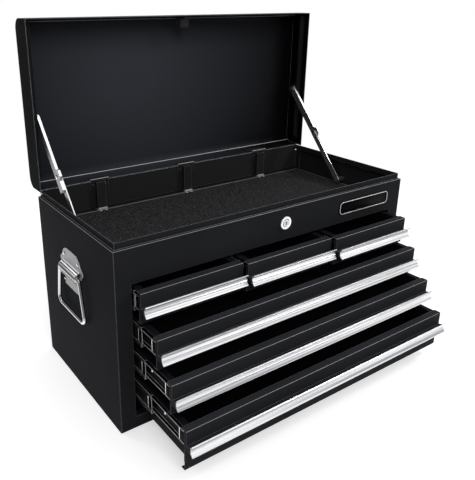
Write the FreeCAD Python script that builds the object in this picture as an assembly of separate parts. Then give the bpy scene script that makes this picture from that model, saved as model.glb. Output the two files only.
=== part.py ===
"""Machinist tool chest: a sheet steel cabinet with a lift-up lid over a till, three small drawers
above three full-width ones on ball-bearing slides, a keyed lock, folding lid stays and bail handles.

Frame: millimetres, +X to the right, -Y to the front, +Z up.  The origin is the centre of the
cabinet's footprint.  The chest is drawn standing open, with its drawers pulled out in steps.
"""
import FreeCAD, Part
import math
import os

Vec = FreeCAD.Vector

# ---- cabinet body
WIDTH = 660.0
DEPTH = 307.0
TOP_BAND = 60.5              # front above the drawer opening, up to where the lid lands
SHEET = 1.2                  # body and lid steel
BEND = 0.8                   # inside bend radius
CORNER_RADIUS = 1.1          # outer upright corners
SMALL_SIDES = 12             # flat sides that small round heads and knuckles are drawn with
ROD_SIDES = 20               # and bent or thin rods
RIM_INSET = 5.0              # rim stands inside the lid
RIM_HEIGHT = 11.0
FOLD_DEPTH = 15.0            # spot-weld flanges

# ---- drawer opening in the front frame
STILE_WIDTH = 28.5
OPENING_BOTTOM = 22.0
OPENING_RETURN = 12.0

# ---- till
TILL_FLOOR_RISE = 10.5       # above the drawer opening
TILL_UPSTAND = 6.0
MAT_THICKNESS = 2.0
MAT_MARGIN = 3.0

# ---- lid
LID_DEPTH = 53.0
LID_BEND = 20.0              # large bends at the lid's front and rear edges
LID_SEAT_GAP = 0.5
LID_REAR_GAP = 1.2           # the lid's rear wall stops this far above the hinge axis
LID_NOTCH_GAP = 1.0          # round each hinge
LID_OPEN_ANGLE = 90.0
STIFFENER_RISE = 14.5        # above the lid's lower edge
STIFFENER_WIDTH = 11.0
STIFFENER_LEG = 13.0
STIFFENER_LIP = 5.0
STIFFENER_FRONT_GAP = 5.0
STIFFENER_REAR_GAP = 16.0
STIFFENER_LUG_RADIUS = 9.0

# ---- hinges
HINGE_INSET = 2.5            # axis inside the back panel's outer face
HINGE_RISE = 13.0            # axis above the shoulder
HINGE_LENGTH = 40.0
HINGE_SPACING = 205.0
HINGE_PIN_RADIUS = 1.5
KNUCKLE_RADIUS = 2.7
KNUCKLE_COUNT = 3
KNUCKLE_GAP = 0.2
LEAF_HEIGHT = 16.0
LEAF_GAP = 0.3
PIN_CLEARANCE = 0.05

# ---- lid stays
STAY_LID_Y = 20.0            # lid pivot with the lid shut
STAY_LID_RISE = 25.0         # above the shoulder, lid shut
STAY_BODY_Y = 0.0
STAY_BODY_DROP = 38.0        # below the shoulder
STAY_LOWER_LENGTH = 123.0
STAY_BAR = 2.0
STAY_BAR_WIDTH = 12.0
STAY_WALL = 1.2
STAY_SIDE_GAP = 0.3
STAY_CHANNEL = 5.0           # across the channel's two walls
STAY_CHANNEL_WIDTH = 15.0
STAY_OVERRUN = 30.0          # the channel runs past the elbow
STAY_THUMB_HEIGHT = 6.0
STAY_THUMB_LENGTH = 24.0
STUD_RADIUS = 2.5
STUD_SHOULDER_RADIUS = 5.0
STUD_HEAD_RADIUS = 4.6
STUD_HEAD = 1.4

# ---- drawers
DRAWER_SIDE_GAP = 1.5
SMALL_DRAWER_GAP = 4.0
SMALL_ROW_HEIGHT = 53.2
SECOND_ROW_HEIGHT = 53.2
THIRD_ROW_HEIGHT = 53.2
BOTTOM_ROW_HEIGHT = 72.2
ROW_GAP = 2.0
TOP_ROW_GAP = 6.2
BOTTOM_ROW_GAP = 1.5
FRONT_DEPTH = 13.0
FRONT_STEP_DOWN = 24.5       # upper face above the nose that carries the pull
FRONT_STEP_BACK = 4.0        # lower face behind the upper one
NOSE_SLOPE = 1.5
NOSE_HEIGHT = 9.5
FRONT_BEND = 1.0
SIDE_RETURN = 6.0            # depth of the front's side flanges
SIDE_NOTCH = 16.0            # they stop this far above its lower edge
BOX_WALL = 1.0
BOX_LIFT = 7.5               # box bottom above the front's lower edge
BOX_BACK_GAP = 15.3          # box back to back panel, drawer shut
BOX_BACK_DROP = 12.0         # box back lower than its sides
BOX_FLANGE = 9.0

# ---- pull extrusion, measured out from the face and down from the drawer's top edge
PULL_TIP_OUT = 15.4
PULL_TIP_DOWN = 16.8
PULL_WEB_OUT = 11.0
PULL_FOOT_OUT = 16.0
PULL_FOOT_DOWN = 36.2
PULL_WALL = 1.8
PULL_FLARE = 6.0             # the lips leave the web this far from their tips
PULL_BEAD = 1.2              # raised band along the web
PULL_BEAD_DOWN = 27.0
PULL_END_GAP = 0.6

# ---- drawer slides: drawer rail, middle rail and cabinet rail
SLIDE_THICKNESS = 12.7
SLIDE_DROP = 25.0            # centre line below the drawer's top edge
SLIDE_SETBACK = 16.5         # rail ends behind the closed front
SLIDE_LENGTH = 260.0
RAIL_SHEET = 1.2
CABINET_RAIL_HEIGHT = 45.0
CABINET_RAIL_REACH = 8.3
CABINET_RAIL_LIP = 3.0
MIDDLE_RAIL_HEIGHT = 35.0
MIDDLE_RAIL_REACH = 7.6
MIDDLE_RAIL_OFFSET = 1.2     # middle rail's open edge from the drawer side
RAIL_SHOULDER = 6.0          # above and below a middle rail's sunk web
RAIL_SINK = 0.9
DRAWER_RAIL_HEIGHT = 24.0
DRAWER_RAIL_REACH = 6.4
CAGE_LENGTH = 120.0
CAGE_WIDTH = 3.0
CAGE_CLEARANCE = 0.3
INNER_CAGE_SETBACK = 9.0
POST_WIDTH = 20.0
POST_SETBACK = 15.5          # front posts behind the cabinet's face
REAR_POST_SETBACK = 31.5     # rear posts from the back face
POST_FLANGE = 10.0
DIVIDER_FLANGE = 8.0
DIVIDER_SETBACK = 14.0
DIVIDER_CLEARANCE = 0.5

# ---- lid-worked drawer lock bars
LOCK_BAR_WIDTH = 19.0
LOCK_BAR_PROUD = 9.5         # from the back panel's inner face
LOCK_BAR_BACK_GAP = 1.8
LOCK_BAR_TOP_GAP = 4.0       # below the hinge axis
LOCK_BAR_SHEET = 1.2
LOCK_BAR_TRAVEL = 10.0
HOOK_WIDTH = 12.0
HOOK_REACH = 11.0
HOOK_THICKNESS = 2.5
HOOK_LIFT = 2.0              # nose above the box back when released
HOOK_SHUT_GAP = 0.6
HOOK_DROP_BELOW = 8.0
GUIDE_SIDE_GAP = 0.5
GUIDE_FRONT_GAP = 0.5
GUIDE_SHEET = 1.5
GUIDE_HEIGHT = 5.0
FLOOR_SLOT_GAP = 1.5

# ---- lid lock
LOCK_X = 11.0
LOCK_DROP = 28.0             # below the shoulder
LOCK_BEZEL_RADIUS = 12.5
LOCK_BEZEL = 3.0
LOCK_BARREL_RADIUS = 9.5
LOCK_BARREL_LENGTH = 16.5    # behind the face
LOCK_HOLE_GAP = 0.1
LOCK_NUT_FLATS = 24.0
LOCK_NUT = 4.0
PLUG_RADIUS = 6.2
PLUG_GAP = 0.05
PLUG_PROUD = 0.6
KEYWAY_WIDTH = 1.6
KEYWAY_HEIGHT = 8.0
KEYWAY_DEPTH = 8.0
CAM_SHEET = 2.0
CAM_GAP = 0.3
CAM_TANG = 6.0
CAM_SHANK_RIGHT = 5.5
CAM_NOSE = 4.0
CAM_NOSE_REACH = 8.0
CAM_HOOK_GAP = 0.4
TANG_END = 1.5

# ---- striker on the lid
STRIKER_LEFT = -12.0
STRIKER_RIGHT = 8.0
STRIKER_FRONT = 6.5          # behind the lid's front face
STRIKER_LENGTH = 17.0
STRIKER_SHEET = 1.5
STRIKER_RIM_GAP = 2.0
TAB_SHIFT = 8.0
TAB_LEG = 14.0

# ---- side handles
HANDLE_Y = 9.5
HANDLE_DROP = 97.0           # bail pivot axis below the shoulder
HANDLE_PLATE = 1.5
HANDLE_AXIS_OUT = 6.0        # from the side panel
BAIL_RADIUS = 3.3
BAIL_TOP_HALF = 41.5
BAIL_BOTTOM_HALF = 57.5
BAIL_DROP = 78.0
BAIL_TOP_BEND = 5.0
BAIL_BOTTOM_BEND = 12.0
BAIL_STUB = 12.0
BARREL_WALL = 1.6
BARREL_END_GAP = 0.4
BARREL_GAP = 0.05
HOOD_OUT = 11.6              # the hood over the bail's top, from the side panel
HOOD_RISE = 13.0             # where the hood leaves the plate, above the axis
HOOD_BROW = 6.0
HOOD_CHEEK = 3.0
HOOD_DROP = 11.0             # its free lower edge, below the axis
HOOD_TUCK = 3.5
HOOD_BEND = 3.0
HOOD_BARE = 1.0              # hood shorter than the straight of the bail at each end
PLATE_TOP_RISE = 37.5
PLATE_LOBE_HALF = 29.0
PLATE_LOBE_ROUND = 22.0
PLATE_WING_HALF = 47.5
PLATE_WING_RISE = 13.5
PLATE_WING_TIP = 5.0
PLATE_SHOULDER_HALF = 38.5
PLATE_SHOULDER_RISE = 20.7
PLATE_WAIST_HALF = 29.0
PLATE_WAIST_DROP = 12.0
PLATE_FOOT_HALF = 33.0
PLATE_FOOT_DROP = 35.0

# ---- how far each drawer stands open
SMALL_LEFT_OUT = 25.5
SMALL_MIDDLE_OUT = 34.0
SMALL_RIGHT_OUT = 42.5
SECOND_OUT = 73.5
THIRD_OUT = 111.5
BOTTOM_OUT = 149.0
SECOND_LAG = 3.0             # a middle rail lags behind half its drawer's travel
THIRD_LAG = 14.0
BOTTOM_LAG = 16.0

# ---- derived places
HALF_W = WIDTH / 2
HALF_D = DEPTH / 2
INNER_X = HALF_W - SHEET
INNER_Y = HALF_D - SHEET
PAN_X = INNER_X - SHEET - BEND   # clear of the back panel's flanges and their bends
RIM_X = HALF_W - RIM_INSET
WEDGE_REACH = 2 * (RIM_INSET + SHEET)   # the mitre runs well past the rim
ROW_HEIGHTS = (SMALL_ROW_HEIGHT, SECOND_ROW_HEIGHT, THIRD_ROW_HEIGHT, BOTTOM_ROW_HEIGHT)
ROW_FLOORS = tuple(
    round(OPENING_BOTTOM + BOTTOM_ROW_GAP + sum(height + ROW_GAP for height in ROW_HEIGHTS[i + 1:]), 3)
    for i in range(len(ROW_HEIGHTS)))
ROW_TOPS = tuple(round(floor + height, 3) for floor, height in zip(ROW_FLOORS, ROW_HEIGHTS))
OPENING_TOP = round(ROW_TOPS[0] + TOP_ROW_GAP, 3)
TILL_FLOOR_TOP = OPENING_TOP + TILL_FLOOR_RISE
SHOULDER_HEIGHT = OPENING_TOP + TOP_BAND
LOCK_Z = SHOULDER_HEIGHT - LOCK_DROP
HANDLE_Z = SHOULDER_HEIGHT - HANDLE_DROP
STAY_LID_Z = SHOULDER_HEIGHT + STAY_LID_RISE
STAY_BODY_Z = SHOULDER_HEIGHT - STAY_BODY_DROP
RIM_TOP = SHOULDER_HEIGHT + RIM_HEIGHT
LID_EDGE = SHOULDER_HEIGHT + LID_SEAT_GAP
LID_TOP = SHOULDER_HEIGHT + LID_DEPTH
HINGE_Y = HALF_D - HINGE_INSET
HINGE_Z = SHOULDER_HEIGHT + HINGE_RISE
BACK_TOP = HINGE_Z - KNUCKLE_RADIUS - LEAF_GAP
HINGE_XS = (-HINGE_SPACING, 0.0, HINGE_SPACING)
FRONT_HALF = HALF_W - STILE_WIDTH - DRAWER_SIDE_GAP
POST_X = FRONT_HALF
STAY_OUTER_X = INNER_X - STIFFENER_WIDTH - STAY_SIDE_GAP
STAY_BAR_OUTER_X = STAY_OUTER_X - STAY_CHANNEL - STAY_SIDE_GAP
STIFFENER_Z = LID_EDGE + STIFFENER_RISE
LOCK_BAR_FRONT = INNER_Y - LOCK_BAR_PROUD
BOX_BACK = INNER_Y - BOX_BACK_GAP

ORIGIN = Vec(0, 0, 0)
AXIS_X = Vec(1, 0, 0)
AXIS_Y = Vec(0, 1, 0)
AXIS_Z = Vec(0, 0, 1)
PLACE = {
    "yz": lambda a, b, s: Vec(s, a, b),
    "xz": lambda a, b, s: Vec(a, s, b),
    "xy": lambda a, b, s: Vec(a, b, s),
}
ALONG = {"yz": AXIS_X, "xz": AXIS_Y, "xy": AXIS_Z}


# ---------------------------------------------------------------- shared operations
def save(node, *solids):
    """Write one node: a single solid, or a group of like ones."""
    shape = solids[0] if len(solids) == 1 else Part.makeCompound(list(solids))
    shape.exportStep("parts/" + node + ".step")


def mirrored(shape):
    return shape.mirror(ORIGIN, AXIS_X)


def block(x0, x1, y0, y1, z0, z1):
    """A box between two opposite corners."""
    return Part.makeBox(x1 - x0, y1 - y0, z1 - z0, Vec(x0, y0, z0))


def rod(start, axis, radius, length):
    return Part.makeCylinder(radius, length, start, axis)


def faceted_ring(centre, axis, radius, sides):
    """A closed ring of straight sides about an axis."""
    spoke = AXIS_Z * radius
    points = []
    for i in range(sides):
        turn = FreeCAD.Rotation(axis, math.degrees(2 * math.pi * i / sides))
        points.append(centre + turn.multVec(spoke))
    return Part.makePolygon(points + points[:1])


def faceted_rod(start, axis, radius, length):
    """A small round piece drawn with flat sides."""
    return Part.Face(faceted_ring(start, axis, radius, SMALL_SIDES)).extrude(axis * length)


def corner_cut(here, before, after, radius):
    """The two tangent points and the middle of the arc that rounds a corner."""
    to_before = (before - here).normalize()
    to_after = (after - here).normalize()
    half = to_before.getAngle(to_after) / 2
    reach = radius / math.tan(half)
    bisector = (to_before + to_after).normalize()
    middle = here + bisector * (radius / math.sin(half) - radius)
    return here + to_before * reach, middle, here + to_after * reach


def rounded_edges(points, radii, closed=True):
    """Lines through the points, with an arc at each corner that has a radius."""
    edges = []
    count = len(points)
    last = points[0]
    first = None
    for i, radius in enumerate(radii):
        inner = closed or 0 < i < count - 1
        if radius > 0 and inner:
            start, middle, end = corner_cut(points[i], points[i - 1], points[(i + 1) % count], radius)
            if first is not None or not closed:
                edges.append(Part.makeLine(last, start))
            edges.append(Part.Arc(start, middle, end).toShape())
            first = start if first is None else first
            last = end
        else:
            if (first is not None or not closed) and i > 0:
                edges.append(Part.makeLine(last, points[i]))
            first = points[i] if first is None else first
            last = points[i]
    if closed:
        edges.append(Part.makeLine(last, first))
    return edges


def prism(outline, radii, plane, start, end):
    """A flat outline with rounded corners, extruded square to its plane."""
    points = [PLACE[plane](a, b, start) for a, b in outline]
    face = Part.Face(Part.Wire(rounded_edges(points, radii)))
    return face.extrude(ALONG[plane] * (end - start))


def offset_path(path, distance):
    """The path moved to its left by a distance, with mitred corners."""
    moved = []
    for i, (a, b) in enumerate(path):
        before = path[max(i - 1, 0)]
        after = path[min(i + 1, len(path) - 1)]
        normals = []
        for (a0, b0), (a1, b1) in ((before, (a, b)), ((a, b), after)):
            length = math.hypot(a1 - a0, b1 - b0)
            if length > 0:
                normals.append((-(b1 - b0) / length, (a1 - a0) / length))
        (n0, m0), (n1, m1) = normals[0], normals[-1]
        scale = distance / (1 + n0 * n1 + m0 * m1)
        moved.append((a + (n0 + n1) * scale, b + (m0 + m1) * scale))
    return moved


def bent_sheet(path, sheet, bend, plane, start, end):
    """Sheet folded along a path and extruded; it lies to the path's left (right if negative).

    A bend of nothing gives sharp folds.
    """
    other = offset_path(path, sheet)
    near = []
    far = []
    for i in range(len(path)):
        if i in (0, len(path) - 1):
            near.append(0)
            far.append(0)
            continue
        (a0, b0), (a1, b1), (a2, b2) = path[i - 1], path[i], path[i + 1]
        left_turn = (a1 - a0) * (b2 - b1) - (b1 - b0) * (a2 - a1) > 0
        wide = bend + abs(sheet) if bend > 0 else 0
        outside = left_turn == (sheet > 0)
        near.append(wide if outside else bend)
        far.append(bend if outside else wide)
    return prism(path + other[::-1], near + far[::-1], plane, start, end)


def upright_corner(x, y, radius, z0, z1):
    """The sliver to take off an upright outer corner at (x, y), so that it is rounded."""
    inner_x = x - math.copysign(radius, x)
    inner_y = y - math.copysign(radius, y)
    square = block(min(x, inner_x), max(x, inner_x), min(y, inner_y), max(y, inner_y), z0, z1)
    return square.cut(rod(Vec(inner_x, inner_y, z0), AXIS_Z, radius, z1 - z0))


def opened(shape):
    """Turn a piece of the lid from its shut place to its open place."""
    turned = shape.copy()
    turned.rotate(Vec(0, HINGE_Y, HINGE_Z), AXIS_X, -LID_OPEN_ANGLE)
    return turned


# ---------------------------------------------------------------- cabinet
def corner_wedge(sign):
    """The front piece's share of a mitred shoulder corner, seen from above."""
    x = sign * HALF_W
    inner = x - sign * WEDGE_REACH
    outline = [(x, -HALF_D), (inner, -HALF_D), (inner, -HALF_D + WEDGE_REACH)]
    return prism(outline, [0, 0, 0], "xy", SHOULDER_HEIGHT - SHEET, RIM_TOP)


def side_panel():
    """Right side: one sheet folded in at the shoulder and up again as the rim."""
    path = [(HALF_W, 0), (HALF_W, SHOULDER_HEIGHT), (RIM_X, SHOULDER_HEIGHT), (RIM_X, RIM_TOP)]
    panel = bent_sheet(path, SHEET, BEND, "xz", -HALF_D, HALF_D)
    panel = panel.cut(corner_wedge(1))
    return panel.cut(upright_corner(HALF_W, -HALF_D, CORNER_RADIUS, 0, RIM_TOP))


def front_frame():
    """Front: shoulder and rim at the top, a sill below, and a flanged opening for the drawers."""
    rim_y = -HALF_D + RIM_INSET
    path = [(-HALF_D, 0), (-HALF_D, SHOULDER_HEIGHT), (rim_y, SHOULDER_HEIGHT), (rim_y, RIM_TOP)]
    frame = bent_sheet(path, -SHEET, BEND, "yz", -HALF_W, HALF_W)
    for sign in (-1, 1):
        outer = sorted((sign * INNER_X, sign * HALF_W))
        seat = block(outer[0], outer[1], -HALF_D, 0, 0, SHOULDER_HEIGHT - SHEET)
        corner = block(min(0, sign * HALF_W), max(0, sign * HALF_W), -HALF_D, 0,
                       SHOULDER_HEIGHT - SHEET, RIM_TOP)
        edge = sorted((sign * (HALF_W - WEDGE_REACH), sign * HALF_W))
        mitre = corner.common(block(edge[0], edge[1], -HALF_D, 0, 0, RIM_TOP)).cut(corner_wedge(sign))
        frame = frame.cut(seat).cut(mitre)
        frame = frame.cut(upright_corner(sign * HALF_W, -HALF_D, CORNER_RADIUS, 0, RIM_TOP))
    half = HALF_W - STILE_WIDTH
    opening = [(-half, OPENING_BOTTOM), (half, OPENING_BOTTOM), (half, OPENING_TOP), (-half, OPENING_TOP)]
    outer = [(a + math.copysign(SHEET, a), b) for a, b in opening]
    outer = [(a, b - SHEET if b == OPENING_BOTTOM else b + SHEET) for a, b in outer]
    hole = prism(opening, [0] * 4, "xz", -HALF_D, -HALF_D + OPENING_RETURN)
    lining = prism(outer, [0] * 4, "xz", -INNER_Y, -HALF_D + OPENING_RETURN)
    frame = frame.fuse(lining).cut(hole)
    lock_hole = rod(Vec(LOCK_X, -HALF_D, LOCK_Z), AXIS_Y, LOCK_BARREL_RADIUS + LOCK_HOLE_GAP, 2 * SHEET)
    return frame.cut(lock_hole).removeSplitter()


def back_panel():
    """Back: a panel with forward flanges at its sides; its top stops under the hinge knuckles."""
    path = [(-INNER_X, HALF_D - FOLD_DEPTH), (-INNER_X, HALF_D), (INNER_X, HALF_D),
            (INNER_X, HALF_D - FOLD_DEPTH)]
    shoulder = SHOULDER_HEIGHT - 2 * SHEET - BEND
    panel = bent_sheet(path, -SHEET, BEND, "xy", 0, shoulder)
    crown = block(-RIM_X + SHEET, RIM_X - SHEET, INNER_Y, HALF_D, shoulder, BACK_TOP)
    return panel.fuse(crown).removeSplitter()


def bottom_pan():
    """Bottom: flat pan with front and back flanges turned up."""
    rise = FOLD_DEPTH - SHEET
    path = [(-INNER_Y, rise), (-INNER_Y, 0), (INNER_Y, 0), (INNER_Y, rise)]
    return bent_sheet(path, SHEET, 0, "yz", -PAN_X, PAN_X)


def till_floor():
    """Till floor: hangs on the opening's top flange, turned up against the back panel."""
    rear = INNER_Y - SHEET
    path = [(-INNER_Y, OPENING_TOP + SHEET), (-INNER_Y, TILL_FLOOR_TOP), (rear, TILL_FLOOR_TOP),
            (rear, TILL_FLOOR_TOP + TILL_UPSTAND)]
    floor = bent_sheet(path, -SHEET, 0, "yz", -PAN_X, PAN_X)
    half = LOCK_BAR_WIDTH / 2 + FLOOR_SLOT_GAP
    front = LOCK_BAR_FRONT - FLOOR_SLOT_GAP
    for x in HINGE_XS:
        floor = floor.cut(block(x - half, x + half, front, INNER_Y, OPENING_TOP,
                                TILL_FLOOR_TOP + FOLD_DEPTH))
    return floor


def till_mat():
    """Mat lying in the till."""
    half_x = RIM_X - SHEET - MAT_MARGIN
    front = -INNER_Y + RIM_INSET + MAT_MARGIN
    rear = LOCK_BAR_FRONT - GUIDE_FRONT_GAP - GUIDE_SHEET - MAT_MARGIN
    outline = [(-half_x, front), (half_x, front), (half_x, rear), (-half_x, rear)]
    return prism(outline, [0] * 4, "xy", TILL_FLOOR_TOP, TILL_FLOOR_TOP + MAT_THICKNESS)


def slide_post(front):
    """Hat-section post on the right side panel, from the bottom pan to the till floor."""
    rear = front + POST_WIDTH
    face = POST_X + SHEET
    path = [(INNER_X, front - POST_FLANGE), (INNER_X, front), (face, front), (face, rear),
            (INNER_X, rear), (INNER_X, rear + POST_FLANGE)]
    return bent_sheet(path, SHEET, 0, "xy", SHEET, TILL_FLOOR_TOP - SHEET)


def small_drawer_edges():
    """Left and right edges of the three small drawer fronts."""
    width = (2 * FRONT_HALF - 2 * SMALL_DRAWER_GAP) / 3
    lefts = [-FRONT_HALF + i * (width + SMALL_DRAWER_GAP) for i in range(3)]
    return [(left, left + width) for left in lefts]


def slide_divider(centre):
    """Folded channel hung from the till floor between two small drawers."""
    inner = SMALL_DRAWER_GAP / 2 - SHEET
    top = TILL_FLOOR_TOP - SHEET
    low = ROW_TOPS[1] + ROW_GAP + SHEET - DIVIDER_CLEARANCE
    reach = inner + SHEET + DIVIDER_FLANGE
    path = [(centre - reach, top), (centre - inner, top), (centre - inner, low),
            (centre + inner, low), (centre + inner, top), (centre + reach, top)]
    return bent_sheet(path, -SHEET, 0, "xz", -HALF_D + DIVIDER_SETBACK, INNER_Y)


def build_cabinet():
    side = side_panel()
    save("side_panel_right", side)
    save("side_panel_left", mirrored(side))
    save("front_frame", front_frame())
    save("back_panel", back_panel())
    save("bottom_pan", bottom_pan())
    save("till_floor", till_floor())
    save("till_mat", till_mat())
    posts = [slide_post(-HALF_D + POST_SETBACK),
             slide_post(HALF_D - REAR_POST_SETBACK - POST_WIDTH)]
    save("slide_posts", *posts, *[mirrored(post) for post in posts])
    gaps = small_drawer_edges()
    centres = [(gaps[i][1] + gaps[i + 1][0]) / 2 for i in range(2)]
    save("slide_dividers", *[slide_divider(centre) for centre in centres])


# ---------------------------------------------------------------- lid and hinges
def lid_shell():
    """Lid: a sheet bent over large front and rear radii, closed by flat side walls."""
    rear_edge = HINGE_Z + LID_REAR_GAP
    notch_top = HINGE_Z + KNUCKLE_RADIUS + LEAF_GAP
    notch_half = HINGE_LENGTH / 2 + LID_NOTCH_GAP
    outline = [(-HALF_D, LID_EDGE), (-HALF_D, LID_TOP), (HALF_D, LID_TOP), (HALF_D, LID_EDGE)]
    radii = [0, LID_BEND, LID_BEND, 0]
    inner = [(-INNER_Y, LID_EDGE), (-INNER_Y, LID_TOP - SHEET), (INNER_Y, LID_TOP - SHEET),
             (INNER_Y, LID_EDGE)]
    inner_radii = [0, LID_BEND - SHEET, LID_BEND - SHEET, 0]
    shell = prism(outline, radii, "yz", -HALF_W, HALF_W)
    shell = shell.cut(prism(inner, inner_radii, "yz", -INNER_X, INNER_X))
    shell = shell.cut(block(-INNER_X, INNER_X, INNER_Y, HALF_D, LID_EDGE, rear_edge))
    for x in HINGE_XS:
        shell = shell.cut(block(x - notch_half, x + notch_half, INNER_Y, HALF_D, LID_EDGE, notch_top))
    rim_inside = RIM_X - SHEET - LID_NOTCH_GAP
    for left, right in ((-INNER_X, -rim_inside), (rim_inside, INNER_X)):
        shell = shell.cut(block(left, right, INNER_Y, HALF_D, LID_EDGE, notch_top))
    for x in (-HALF_W, HALF_W):
        for y in (-HALF_D, HALF_D):
            shell = shell.cut(upright_corner(x, y, CORNER_RADIUS, LID_EDGE, LID_TOP - LID_BEND))
    return shell


def lid_stiffener():
    """Right stiffener: leg on the side wall, broad flange, and a lip that carries the stay."""
    lip_x = INNER_X - STIFFENER_WIDTH
    front = -INNER_Y + STIFFENER_FRONT_GAP
    rear = HALF_D - STIFFENER_REAR_GAP
    path = [(INNER_X, STIFFENER_Z + STIFFENER_LEG), (INNER_X, STIFFENER_Z), (lip_x, STIFFENER_Z),
            (lip_x, STIFFENER_Z + STIFFENER_LIP)]
    strip = bent_sheet(path, -SHEET, 0, "xz", front, rear)
    taper = [(lip_x, rear), (INNER_X - SHEET, rear), (lip_x, rear - STIFFENER_WIDTH)]
    strip = strip.cut(prism(taper, [0, 0, 0], "xy", STIFFENER_Z, STIFFENER_Z + STIFFENER_LEG))
    base = STIFFENER_Z + SHEET
    radius = STIFFENER_LUG_RADIUS
    lug = [(STAY_LID_Y - 2 * radius, base), (STAY_LID_Y + 2 * radius, base),
           (STAY_LID_Y + radius, STAY_LID_Z + radius), (STAY_LID_Y - radius, STAY_LID_Z + radius)]
    strip = strip.fuse(prism(lug, [0] * 4, "yz", lip_x, lip_x + SHEET))
    hole = rod(Vec(lip_x, STAY_LID_Y, STAY_LID_Z), AXIS_X, STUD_RADIUS, SHEET)
    return strip.cut(hole).removeSplitter()


def striker_seat():
    """Height of the striker plate's lower face, just over the rim."""
    return RIM_TOP + STRIKER_RIM_GAP


def striker_tab():
    """Angle welded inside the lid's front wall, which carries the striker."""
    low = striker_seat() + STRIKER_SHEET
    rear = -HALF_D + STRIKER_FRONT + STRIKER_LENGTH / 2
    path = [(-INNER_Y, low + TAB_LEG), (-INNER_Y, low), (rear, low)]
    return bent_sheet(path, SHEET, 0, "yz", STRIKER_LEFT - TAB_SHIFT, STRIKER_RIGHT - TAB_SHIFT)


def striker():
    """Plated striker that the lock's cam hooks over."""
    front = -HALF_D + STRIKER_FRONT
    rear = front + STRIKER_LENGTH
    outline = [(STRIKER_LEFT, front), (STRIKER_RIGHT, front), (STRIKER_RIGHT, rear), (STRIKER_LEFT, rear)]
    low = striker_seat()
    return prism(outline, [0] * 4, "xy", low, low + STRIKER_SHEET)


def hinge_leaf(x, lower):
    """One leaf with its knuckles: the lower on the back panel, the upper on the lid."""
    pitch = HINGE_LENGTH / KNUCKLE_COUNT
    start = x - HINGE_LENGTH / 2
    sense = -1 if lower else 1
    near = HINGE_Z + sense * (KNUCKLE_RADIUS + LEAF_GAP)
    far = near + sense * LEAF_HEIGHT
    leaf = block(start, start + HINGE_LENGTH, INNER_Y - SHEET, INNER_Y, min(near, far), max(near, far))
    for i in range(0 if lower else 1, KNUCKLE_COUNT, 2):
        left = start + i * pitch + (KNUCKLE_GAP if i > 0 else 0)
        right = start + (i + 1) * pitch - (KNUCKLE_GAP if i < KNUCKLE_COUNT - 1 else 0)
        knuckle = faceted_rod(Vec(left, HINGE_Y, HINGE_Z), AXIS_X, KNUCKLE_RADIUS, right - left)
        neck = block(left, right, INNER_Y - SHEET, INNER_Y, min(HINGE_Z, near), max(HINGE_Z, near))
        leaf = leaf.fuse(knuckle).fuse(neck)
    bore = rod(Vec(start, HINGE_Y, HINGE_Z), AXIS_X, HINGE_PIN_RADIUS + PIN_CLEARANCE, HINGE_LENGTH)
    return leaf.cut(bore).removeSplitter()


def hinge_pin(x):
    ring = faceted_ring(Vec(x - HINGE_LENGTH / 2, HINGE_Y, HINGE_Z), AXIS_X, HINGE_PIN_RADIUS, ROD_SIDES)
    return Part.Face(ring).extrude(AXIS_X * HINGE_LENGTH)


def build_lid():
    stiffener = lid_stiffener()
    save("lid_shell", opened(lid_shell()))
    save("lid_stiffeners", opened(stiffener), opened(mirrored(stiffener)), opened(striker_tab()))
    save("lid_striker", opened(striker()))
    save("hinge_body_leaves", *[hinge_leaf(x, True) for x in HINGE_XS])
    save("hinge_lid_leaves", *[opened(hinge_leaf(x, False)) for x in HINGE_XS])
    save("hinge_pins", *[hinge_pin(x) for x in HINGE_XS])


# ---------------------------------------------------------------- lid stays
def turned_about_hinge(y, z):
    """Where a point of the shut lid lies when the lid stands open."""
    angle = math.radians(-LID_OPEN_ANGLE)
    dy = y - HINGE_Y
    dz = z - HINGE_Z
    return (HINGE_Y + dy * math.cos(angle) - dz * math.sin(angle),
            HINGE_Z + dy * math.sin(angle) + dz * math.cos(angle))


def along_stay(shape):
    """Lay a piece drawn along +Y from the body pivot onto the line of the open stay."""
    lid_y, lid_z = turned_about_hinge(STAY_LID_Y, STAY_LID_Z)
    slope = math.degrees(math.atan2(lid_z - STAY_BODY_Z, lid_y - STAY_BODY_Y))
    laid = shape.copy()
    laid.rotate(ORIGIN, AXIS_X, slope)
    laid.translate(Vec(0, STAY_BODY_Y, STAY_BODY_Z))
    return laid


def stay_span():
    """Distance from the body pivot to the lid pivot with the stay straight."""
    lid_y, lid_z = turned_about_hinge(STAY_LID_Y, STAY_LID_Z)
    return math.hypot(lid_y - STAY_BODY_Y, lid_z - STAY_BODY_Z)


def lower_arm():
    """Flat bar from the body pivot to the elbow, inboard of the channel."""
    half = STAY_BAR_WIDTH / 2
    outline = [(-half, -half), (STAY_LOWER_LENGTH + half, -half), (STAY_LOWER_LENGTH + half, half),
               (-half, half)]
    inner_x = STAY_BAR_OUTER_X - STAY_BAR
    bar = prism(outline, [half - STAY_SIDE_GAP] * 4, "yz", inner_x, STAY_BAR_OUTER_X)
    hole = rod(Vec(inner_x, 0, 0), AXIS_X, STUD_RADIUS + PIN_CLEARANCE, STAY_BAR)
    return along_stay(bar.cut(hole))


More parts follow.
